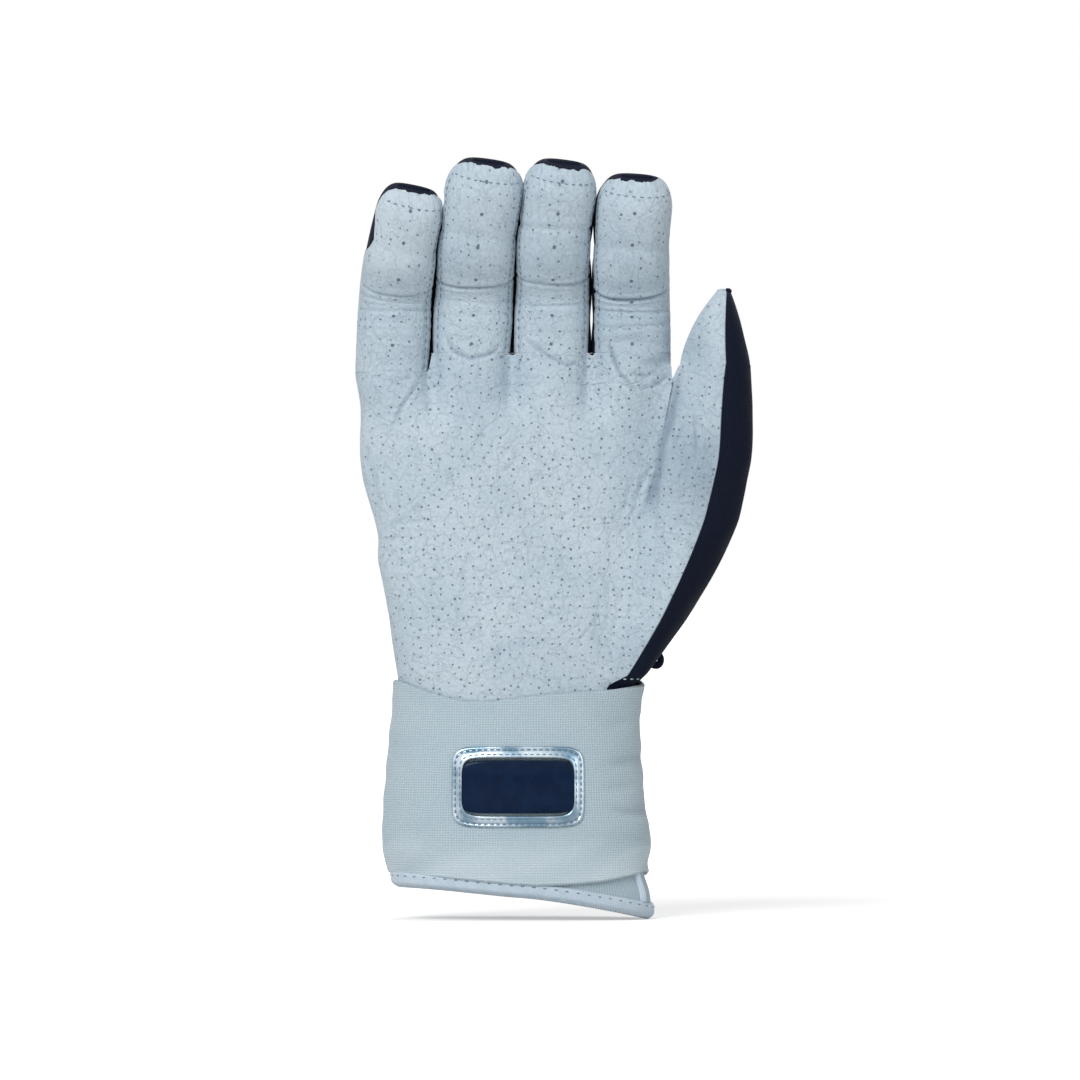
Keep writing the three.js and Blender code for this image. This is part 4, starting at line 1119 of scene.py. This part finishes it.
def build_palm():
    """The leather palm and the stretch back of the hand."""
    s = np.linspace(0, 1, 170)[:-1, None]
    for tag, sign, start, columns, step, notch, lift, look, thick, name in (
        ("palm", 1, -16, 200, ROOT_STEP, SLIT_NOTCH, LEATHER_LAP, LEATHER_LOOK, LEATHER, "palm_leather"),
        ("back", -1, -18.5, 180, BACK_STEP, 0.0, 0.0, NAVY_LOOK, STRETCH, "hand_back"),
    ):
        start = math.radians(start)
        t = np.linspace(0, 1, columns)[None]
        reach = palm_end(np.array(PALM_TOP - 0.01))
        head = palm_point(lerp(start * PALM_EDGE_TURN, sign * reach, t), np.array(PALM_TOP))[..., 0]
        crest = root_top(head, notch, step)
        level = lerp(TUCK_Z, LEVEL_Z, s) + 0 * crest
        z = np.concatenate([level, lerp(LEVEL_Z, crest, np.linspace(0, 1, 16)[:, None])])
        angle = lerp(start * lerp(1, PALM_EDGE_TURN, smooth(z, 140, 168)), sign * palm_end(z), t)
        points = palm_point(angle, z, lift)
        flat, crease = None, 0.0
        if sign > 0:
            flat = stack(edge_pattern(points), z, FAR)
            facing = smooth(np.sin(np.maximum(angle, 0)), 0.05, 0.5)
            facing = facing * (1 - smooth(z - root_top(head, notch), -1.8, -0.2))
            points, relief = push_front(points, facing * smooth(z, 72, 90))
            x = points[..., 0]
            root_folds = root_relief(x, z)
            points[..., 1] -= root_folds
            # Painted shade in the folds, along the thumb's fold and at the finger roots, and painted light
            # on the lower palm (the -0.2 term).
            shade = thumb_shade(x, z) - 0.2 * (1 - smooth(z, 150, 172)) + root_shade(x, z)
            crease = np.clip(-(relief + root_folds) / 0.7, 0, 1) + shade
        else:
            points[..., 1] += back_relief(points[..., 0], z)
        vents = 0.96 - 0.4 * smooth(z, 140, 172) - 0.25 * smooth(-points[..., 0], 25, 45)
        piece = sheet(name, points, thick, look, (0, -sign, 0), flat, crease, vents, (0, 0, 0, 1))
        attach(piece, "hand")
        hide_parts(tag + "_panel")


def palm_front(x, z):
    """A point of the palm leather's outer face at (x, z)."""
    middle, half, _ = palm_slice(z)
    u = (x - middle) / half
    height = palm_height(u, x, z, np.ones_like(x, bool), LEATHER_LAP)
    fade = 1 - smooth(z - root_top(x), -3.5, 0)
    return stack(x, -height - palm_form(x, z) * fade, z)


def build_crotches():
    """The webs between finger roots and the stitches round each slit's bottom."""
    paths = []
    for left, right in zip(ORDER[:-1], ORDER[1:]):
        f, g = fingers[left], fingers[right]
        low = min(f.root, g.root)
        edges = f.x + f.width / 2, g.x - g.width / 2
        s = np.linspace(-1, 1, 13)[None]
        y = np.linspace(-4.2, 6.5, 20)[:, None]
        centre = (edges[0] + edges[1]) / 2
        x = centre + s * ((edges[1] - edges[0]) / 2 + 0.9)
        rise = abs(f.root - g.root) * smooth(s, -0.7, 0.5)
        saddle = low - 1.0 + 2.2 * np.abs(s) ** 2.5 - 1.0 * (y / 6) ** 2 + rise
        web = sheet(f"{left}_{right}_crotch", stack(x, y, saddle), STRETCH, GUSSET_LOOK, (0, 0, 1))
        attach(web, "hand")
        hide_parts(f"{left}_{right}_web")
        turn = np.linspace(0, np.pi, 30)
        z = low - 0.2 - 4.6 * np.sin(turn)
        place = palm_front(centre - 3.1 * np.cos(turn), z)
        paths.append((place, np.tile([0, -1.0, 0.3], (len(turn), 1))))
    row = stitches("crotch_stitches", paths, BLUE_THREAD, *CROTCH_STITCH)
    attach(row, "hand")


THUMB_LOW, CAP_SEAM = 71.6, 79.4


def thumb_front_blend(piece):
    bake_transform(piece)


def thumb_back_blend(piece):
    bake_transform(piece)


def thumb_tip_blend(piece):
    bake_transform(piece)


def thumb_seam(z):
    """Angle of the seam between the thumb's leather and its stretch back."""
    return THUMB_SEAM + 9 * smooth(z, 135, CROTCH_Z)


def thumb_front_points(degrees, z, lift):
    points = thumb_point(np.radians(degrees), z, lift)
    return push_front(points, smooth(degrees, 66, 100) * smooth(z, 72, 90) * (1 - smooth(z, 166, 172)))


def build_thumb_base():
    """The thumb's leather and stretch back up to its joint."""
    z = np.linspace(0, 1, 110)[:, None]
    t = np.linspace(0, 1, 60)[None]
    low = lerp(TUCK_Z, CROTCH_Z, z)
    degrees = lerp(thumb_seam(low), np.degrees(thumb_end(low)), t)
    points, relief = thumb_front_points(degrees, low, LEATHER_LAP)
    flat = stack(points[..., 0], low, FAR)
    # dark is painted shade in the folds and along the thumb's fold and root.
    dark = np.clip(-relief / 0.7, 0, 1) + thumb_shade(points[..., 0], low)
    front = sheet("thumb_front", points, LEATHER, LEATHER_LOOK, (0, -1, 0), flat, dark, 0.9, (0, 0, 0, 1))
    thumb_front_blend(front)
    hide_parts("thumb_front_base")

    low = lerp(THUMB_LOW, CROTCH_Z, z)
    hidden = 3 + 9 * smooth(low, 88, 100) * (1 - smooth(low, 136, 150))
    degrees = lerp(thumb_seam(low) + hidden, -np.degrees(thumb_end(low)), t)
    points = thumb_point(np.radians(degrees), low)
    back = sheet("thumb_back", points, STRETCH, NAVY_LOOK, (1, 0.5, 0), roll=(0, 1, 0, 0))
    thumb_back_blend(back)
    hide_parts("thumb_back_base")


def build_thumb_tip():
    """The two halves of the thumb's tip, and the leather and seam that close it."""
    for name, look, spans, lift, node, out in (
        ("thumb_front_cap", LEATHER_LOOK, (CAP_SEAM, 206.0), LEATHER_LAP, "thumb_front_tip", (0, -1, 0)),
        ("thumb_back_cap", NAVY_LOOK, (204.0, CAP_SEAM + 363), 0.0, "thumb_back_tip", (0.3, 1, 0)),
    ):
        v = np.linspace(0, 1, 40)[:, None]
        degrees = lerp(spans[0], spans[1], np.linspace(0, 1, 56)[None])
        points = thumb_tip_point(np.radians(degrees), v, lift)
        flat = stack(points[..., 0], points[..., 2], FAR) if lift else None
        piece = sheet(name, points, LEATHER, look, out, flat, 0.0, 0.3, (0, 1, 1, 1))
        thumb_tip_blend(piece)
        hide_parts(node)

    points, faces = bead(12, 24)
    middle, _, _, forward = thumb_slice(np.array(CROTCH_Z))
    for name, look, size, shift, slot_name in (
        ("thumb_tip_cap", LEATHER_LOOK, (2.1, 1.5, 0.8), -0.2, "palm_leather"),
        ("thumb_tip_seam", NAVY_LOOK, (1.2, 1.75, 1.0), 1.2, "stretch_back"),
    ):
        shape = points * size
        place = shape + (middle + THUMB_TIP_SHIFT + shift, -forward, CROTCH_Z + THUMB_TIP)
        blank = np.zeros(len(shape))
        flat = shape[:, [0, 2, 1]] + (0, 0, FAR)
        knob = make_object(name, place, faces, look, flat=flat, crease=blank, vent=blank)
        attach(knob, "thumb_tip")


def build_hem():
    """The pale stitches along the hem of the thumb's back."""
    degrees = np.linspace(14, THUMB_SEAM - 4, 40)
    row = thumb_point(np.radians(degrees), np.full(40, 74.7), 0.1)
    hem = stitches("hem_stitches", [(row, unit(row * (1, 1, 0)))], BINDING_LOOK, *HEM_STITCH)
    thumb_back_blend(hem)


def build_pull_loop():
    """The small loop of tape at the thumb side of the wrist."""
    low, high = (np.array(corner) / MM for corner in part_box("pull_loop"))
    centre, size = (low + high) / 2 + (-0.4, 0, 1.1), (high - low) * (0.72, 0.8, 0.8)
    turn = np.linspace(0, 2 * np.pi, 40, endpoint=False)[:, None]
    around = np.linspace(0, 2 * np.pi, 12, endpoint=False)[None]
    reach = 1 - 0.42 * (1 - np.cos(around))
    long = 1 + 0.35 * (np.cos(turn) < 0)
    x = centre[0] + size[0] / 2 * long * np.cos(turn) * reach
    z = centre[2] + size[2] / 2 * np.sin(turn) * reach
    y = centre[1] + size[1] / 2 * spread(np.sin(around), 0.5) + 0 * turn
    faces = ring_faces(turn.size, around.size).tolist()
    flat = stack(turn * size[2] / 2, around * 2, FAR).reshape(-1, 3)
    tab = make_object("pull_tab", stack(x, y, z).reshape(-1, 3), faces, NAVY_LOOK, flat=flat)
    thumb_back_blend(tab)
    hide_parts("pull_loop")


# Heights of the strap's upper and lower edge across the front, at these x.
STRAP_X = (-42.0, -36.0, -25.0, -13.0, 0.0, 13.0, 28.0, 36.0, 42.0)
STRAP_UPPER = (75.0, 73.4, 69.3, 66.8, 68.6, 70.0, 70.6, 71.8, 73.0)
STRAP_LOWER = (14.5, 14.0, 12.6, 11.6, 11.2, 11.6, 13.0, 15.4, 16.1)
STRAP_BACK_TOP, SLEEVE_TOP, BINDING_THICK, PAD_THICK = 73.6, 71.0, 2.2, 1.0

# Soft wrinkles at the strap's thumb side: height at the edge, slope, depth.
STRAP_WRINKLES = [(62.5, 0.25, 0.35), (50.5, 0.22, 0.6), (42.0, 0.1, 0.45), (33.0, -0.12, 0.65),
                  (24.0, -0.2, 0.4)]

# The short cord at the cuff's thumb side: half its length, its angle round the cuff, its height.
PIPING_HALF, PIPING_ANGLE, PIPING_Z = 4.8, 22.5, 10.2


def strap_edge(angle, heights, back):
    """Height of an edge of the strap: drawn across the front, level at the back."""
    x = STRAP_HALF * spread(np.cos(angle), 2 / CUFF_SQUARE)
    places = x[..., None] + np.linspace(-6, 6, 9)
    front = np.interp(places, STRAP_X, heights).mean(-1)
    return lerp(back, front, smooth(np.sin(angle), -0.3, 0.2))


def strap_top(angle):
    return strap_edge(angle, STRAP_UPPER, STRAP_BACK_TOP)


def strap_foot(angle):
    return np.maximum(strap_edge(angle, STRAP_LOWER, STRAP_BOTTOM), mouth_z(angle) - 0.4)


def strap_grid(start, end, columns, rows, lift):
    angle = np.radians(np.linspace(start, end, columns))[None]
    s = np.linspace(0, 1, rows)[:, None]
    z = lerp(strap_foot(angle), strap_top(angle), s)
    side = np.abs(np.cos(angle)) ** 6
    ripple = 0.45 * side * np.sin(z * 0.62 + 3 * angle) + 0.2 * np.sin(z * 0.31 + 5 * angle)
    rim = 0.5 * hump((1 - s) * 60, 2.5) + 0.3 * hump(s * 60, 2.0)
    tuck = 1.3 * smooth(-np.cos(angle), 0.3, 0.9) * (1 - smooth(s, 0, 0.14))
    tuck = tuck * smooth(np.sin(angle), -0.2, 0.3)
    x = STRAP_HALF * spread(np.cos(angle), 2 / CUFF_SQUARE)
    wrinkles = 0
    for height, slope, depth in STRAP_WRINKLES:
        wrinkles = wrinkles + depth * hump(z - height - slope * (x - STRAP_HALF), 2.0)
    wrinkles = wrinkles * smooth(np.cos(angle), 0.5, 0.85) * smooth(np.sin(angle), -0.2, 0.1)
    stand = lift(angle) + ELASTIC + 0.3 * ripple * (1 - rim) + 0.3 * rim - tuck - wrinkles
    outer = cuff_point(angle, z, stand)
    flat = stack(travel_along(outer[rows // 2])[None], z, FAR)
    # The third value is painted shade in the wrinkles and the ripple's hollows, and painted light low on the
    # strap.
    return outer, flat, np.clip(wrinkles - ripple * 0.6, 0, 1) - 0.45 * (1 - smooth(z, 16, 34))


def build_strap():
    """The strap round the wrist and its tail on the back."""
    outer, flat, dark = strap_grid(STRAP_START, STRAP_HINGE, 260, 60, strap_lift)
    strap = sheet("strap", outer, ELASTIC, ELASTIC_LOOK, (0, -1, 0), flat, dark, roll=(1, 0, 1, 1))
    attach(strap, "hand")
    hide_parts("strap_band")
    outer, flat, dark = strap_grid(STRAP_HINGE, STRAP_END, 80, 60, lambda angle: STRAP_STACK)
    tail = sheet("strap_end", outer, ELASTIC, ELASTIC_LOOK, (0, 1, 0), flat, dark, roll=(1, 1, 1, 0))
    middle = np.array(40.0)
    hinge = cuff_point(np.radians(STRAP_HINGE), middle, STRAP_STACK)
    ahead = cuff_point(np.radians(STRAP_HINGE + 12), middle, STRAP_STACK)
    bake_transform(tail)
    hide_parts("strap_tail")


def build_pads():
    """The hook and loop pads that close the strap."""
    for name, node, body, span, height, lift in (
        ("loop_tape", "loop_pad", "hand", (243, 297), 44, 1.3),
        ("hook_tape", "hook_pad", "strap_tail", (248, 295), 36, 2.6),
    ):
        angle = np.radians(np.linspace(*span, 60))[None]
        z = BADGE_Z + 2 + np.linspace(-0.5, 0.5, 40)[:, None] * height + 0 * angle
        pad = sheet(name, cuff_point(angle, z, lift), PAD_THICK, PILE_LOOK, (0, 1, 0))
        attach(pad, body)
        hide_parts(node)


def build_cuff():
    """The knit sleeve with its binding, cord and stitches."""
    angle = np.linspace(0, 2 * np.pi, 221)[None, :-1]
    mouth = mouth_z(angle)
    sleeve = cuff_point(angle, lerp(mouth - 1.5, SLEEVE_TOP, np.linspace(0, 1, 40)[:, None]))
    build_tube("cuff_sleeve", sleeve, KNIT, CUFF_LOOK, "wrist_cuff")
    s = np.linspace(0, 1, 16)[:, None]
    swell = 0.3 - 2.0 * (1 - s / 0.4).clip(0, 1) ** 2 - 0.5 * (s / 0.25 - 3).clip(0, 1) ** 2
    roll = cuff_point(angle, lerp(mouth - BINDING_HEIGHT, mouth - 0.1, s), swell + 0.7)
    build_tube("binding_roll", roll, BINDING_THICK, BINDING_LOOK, "cuff_binding")
    points, faces = bead(14, 16)
    round_off = 1.2 * (crown(points[:, 0], 6) / np.maximum(crown(points[:, 0], 2), 1e-9))[:, None]
    reach = np.concatenate([points[:, 1:] * round_off, points[:, :1] * PIPING_HALF], -1)
    corner = cuff_point(math.radians(PIPING_ANGLE), PIPING_Z + reach[:, 2], 0.3)
    piping = make_object("cuff_piping", reach * (1, 1, 0) + corner, faces, BINDING_LOOK, flat=reach)
    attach(piping, "hand")
    turn = np.linspace(0, 2 * np.pi, 600)
    row = cuff_point(turn, mouth_z(turn) - 1.3, 0.85)
    normals = unit(row * (1, 1, 0))
    seam = stitches("binding_stitches", [(row, normals)], BLUE_THREAD, *BINDING_STITCH)
    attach(seam, "hand")


def build_tube(name, outer, thickness, material, node):
    """A closed ring of cloth from a grid that goes all the way round."""
    rows, columns = outer.shape[:2]
    wide = np.concatenate([outer[:, -1:], outer, outer[:, :1]], 1)
    normals = grid_normals(wide, (0, 0, 0))[:, 1:-1]
    if np.mean(np.sum(normals * outer * (1, 1, 0), -1)) < 0:
        normals = -normals
    inner = outer - normals * thickness
    points = np.concatenate([outer, inner[::-1]]).reshape(-1, 3)
    faces = ring_faces(2 * rows, columns)
    corner = points[faces[0]]
    if np.cross(corner[1] - corner[0], corner[3] - corner[0]) @ normals[0, 0] < 0:
        faces = faces[:, ::-1]
    around = travel_along(outer[0])
    around = np.abs(around - around[-1] / 2)
    up = np.linspace(0, 1, rows)[:, None] * np.ptp(outer[:, 0, 2])
    flat = stack(around[None], up, FAR)
    flat = np.concatenate([flat, flat[::-1]]).reshape(-1, 3)
    piece = make_object(name, points, faces.tolist(), material, flat=flat)
    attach(piece, "hand")
    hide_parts(node)


def strap_face(x, z, lift):
    """Y of the strap's front face, or of a layer above it."""
    wide, deep = cuff_half(z, lift)
    return -deep * crown(x / wide, CUFF_SQUARE)


PLATE_BOW, BADGE_SQUARE, FRAME_RISE = 0.7, 2 / 7, 0.9

# The silver frame's section: distance in from its outline, height above the strap.
FRAME_PROFILE = [(3.4, -0.1), (0.2, -0.1), (0.0, 0.35), (0.2, 0.75), (0.5, 0.95), (0.75, 0.9), (0.95, 0.6),
                 (1.15, 0.9), (1.4, 1.05), (1.9, 1.05), (2.2, 0.9), (2.4, 0.6), (2.6, 0.9), (2.9, 1.0),
                 (3.4, 0.8)]
FRAME_SEAMS = (0.95, 2.4)

# The insert's section: distance in from its outline, depth behind its face. None is the strap.
PLATE_PROFILE = [(0.0, None), (0.0, 0.9), (0.1, 0.45), (0.4, 0.2), (1.0, 0.08), (2.5, 0.02), (5.0, 0.0),
                 (8.0, 0.0)]


def badge_line(size, inset):
    """X and z round a rectangle with soft corners, inset from this size."""
    turn = np.linspace(0, 2 * np.pi, 160, endpoint=False)
    x = (size[0] - 2 * inset) / 2 * spread(np.cos(turn), BADGE_SQUARE)
    return x, (size[1] - 2 * inset) / 2 * spread(np.sin(turn), BADGE_SQUARE) + BADGE_Z


def plate_y(x):
    """Y of the insert's slightly bowed face."""
    return PLATE_BOW * (x / 17.5) ** 2 - PLATE_FACE


def frame_y(x, z, inset, height):
    """Y of the silver frame: it follows the strap outside and the insert inside."""
    y = strap_face(x, z, STRAP_LIFT + ELASTIC + height)
    return lerp(y, 0.75 + plate_y(x), smooth(inset, 0.6, 3.4)) if height > 0 else y


def build_badge():
    """The silver frame and its blank navy insert."""
    rings = []
    for inset, height in FRAME_PROFILE:
        x, z = badge_line(BADGE_SIZE, inset)
        rings.append(stack(x, frame_y(x, z, inset, height), z))
    faces = ring_faces(len(rings), len(rings[0])).tolist()
    points = np.concatenate(rings)
    frame_piece = make_object("badge_frame", points, faces, VINYL_LOOK, flat=points[:, [0, 2, 1]])
    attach(frame_piece, "hand")
    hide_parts("badge_base")

    rings = []
    for inset, depth in PLATE_PROFILE:
        x, z = badge_line(PLATE_SIZE, inset)
        y = strap_face(x, z, STRAP_LIFT + ELASTIC) if depth is None else depth + plate_y(x)
        rings.append(stack(x, y, z))
    count, columns = len(rings), len(rings[0])
    last = (count - 1) * columns
    faces = ring_faces(count, columns)[:last].tolist()
    faces += [list(range(columns))[::-1], list(range(last, last + columns))]
    points = np.concatenate(rings)
    plate = make_object("badge_insert", points, faces, GLOSS_LOOK, flat=points[:, [0, 2, 1]])
    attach(plate, "hand")
    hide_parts("badge_plate")

    paths = []
    for inset in FRAME_SEAMS:
        x, z = (np.append(line, line[:1]) for line in badge_line(BADGE_SIZE, inset))
        paths.append((stack(x, frame_y(x, z, inset, FRAME_RISE), z), np.tile([0, -1.0, 0], (len(x), 1))))
    seam = stitches("badge_stitches", paths, SILVER_THREAD, *BADGE_STITCH)
    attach(seam, "hand")


WORLD_LEVEL, WHITE = 0.3, (1, 1, 1, 1)
FLOOR_REACH, FLOOR_TONE, FLOOR_GLOW, FLOOR_FADE = 12.0, (0.85, 0.85, 0.85, 1), 0.42, (0.12, 0.45)

# Each light: name, place, size, power. All aim at the same point.
LIGHTS = [
    ("key", (-0.7, -1.3, 1.1), 0.9, 20.0),
    ("fill", (1.3, -1.1, 0.6), 1.2, 4.5),
    ("top", (0.1, 0.4, 1.6), 1.0, 6.0),
]
LIGHT_AIM = Vector((0, 0, 0.12))
VIEW_CENTRE, VIEW_WIDTH, LENS, SENSOR = (6.8, 117.8), 334.8, 300.0, 36.0


def floor_look():
    """A pale floor that glows for the camera, more so farther out."""
    material = bpy.data.materials.new("pale_floor")
    material.use_nodes = True
    nodes = Nodes(material.node_tree)
    nodes.tree.nodes.clear()
    place = nodes.node("ShaderNodeNewGeometry", {}).outputs["Position"]
    away = nodes.node("ShaderNodeVectorMath", {0: place}, operation="LENGTH").outputs["Value"]
    seen = nodes.node("ShaderNodeLightPath", {}).outputs["Is Camera Ray"]
    strength = nodes.math("MULTIPLY", nodes.ramp(away, *FLOOR_FADE, FLOOR_GLOW), seen)
    glow = nodes.node("ShaderNodeEmission", {"Color": WHITE, "Strength": strength})
    diffuse = nodes.node("ShaderNodeBsdfDiffuse", {0: FLOOR_TONE})
    both = nodes.node("ShaderNodeAddShader", {0: diffuse.outputs[0], 1: glow.outputs[0]})
    nodes.node("ShaderNodeOutputMaterial", {0: both.outputs[0]})
    return material


def build_stage():
    """A pale floor that keeps the shadow, a white surround and soft studio lights."""
    mesh = bpy.data.meshes.new("floor")
    corners = [(x * FLOOR_REACH, y * FLOOR_REACH, 0) for x, y in ((-1, -1), (1, -1), (1, 1), (-1, 1))]
    mesh.from_pydata(corners, [], [(0, 1, 2, 3)])
    mesh.materials.append(floor_look())
    floor = bpy.data.objects.new("floor", mesh)
    bpy.context.scene.collection.objects.link(floor)

    world = bpy.data.worlds.new("studio")
    bpy.context.scene.world = world
    world.use_nodes = True
    nodes = Nodes(world.node_tree)
    nodes.tree.nodes.clear()
    rays = nodes.node("ShaderNodeLightPath", {}).outputs
    direct = nodes.math("ADD", rays["Is Camera Ray"], rays["Is Glossy Ray"])
    inputs = {0: direct, 1: rays["Is Transmission Ray"]}
    seen = nodes.node("ShaderNodeMath", inputs, operation="ADD", use_clamp=True).outputs[0]
    inputs = {"Value": seen, "To Min": WORLD_LEVEL, "To Max": 1.0}
    level = nodes.node("ShaderNodeMapRange", inputs).outputs[0]
    background = nodes.node("ShaderNodeBackground", {"Color": WHITE, "Strength": level})
    nodes.node("ShaderNodeOutputWorld", {0: background.outputs[0]})

    for name, place, size, power in LIGHTS:
        lamp = bpy.data.lights.new(name, "AREA")
        lamp.shape, lamp.size, lamp.energy = "SQUARE", size, power
        holder = bpy.data.objects.new(name, lamp)
        holder.location = place
        holder.rotation_euler = (LIGHT_AIM - Vector(place)).to_track_quat("-Z", "Y").to_euler()
        bpy.context.scene.collection.objects.link(holder)


def build_camera():
    data = bpy.data.cameras.new("photo_camera")
    data.lens, data.sensor_width = LENS, SENSOR
    data.clip_end = 100
    camera = bpy.data.objects.new("photo_camera", data)
    distance = VIEW_WIDTH * LENS / SENSOR
    camera.location = metres((VIEW_CENTRE[0], -distance - 10, VIEW_CENTRE[1]))
    camera.rotation_euler = (math.pi / 2, 0, 0)
    bpy.context.scene.collection.objects.link(camera)
    bpy.context.scene.camera = camera


for finger_name in ORDER:
    build_finger(finger_name)
build_palm()
build_back_stitches()
build_crotches()
build_thumb_base()
build_thumb_tip()
build_hem()
build_pull_loop()
build_strap()
build_pads()
build_cuff()
build_badge()
build_stage()
build_camera()
bpy.context.scene.view_settings.view_transform = "Standard"
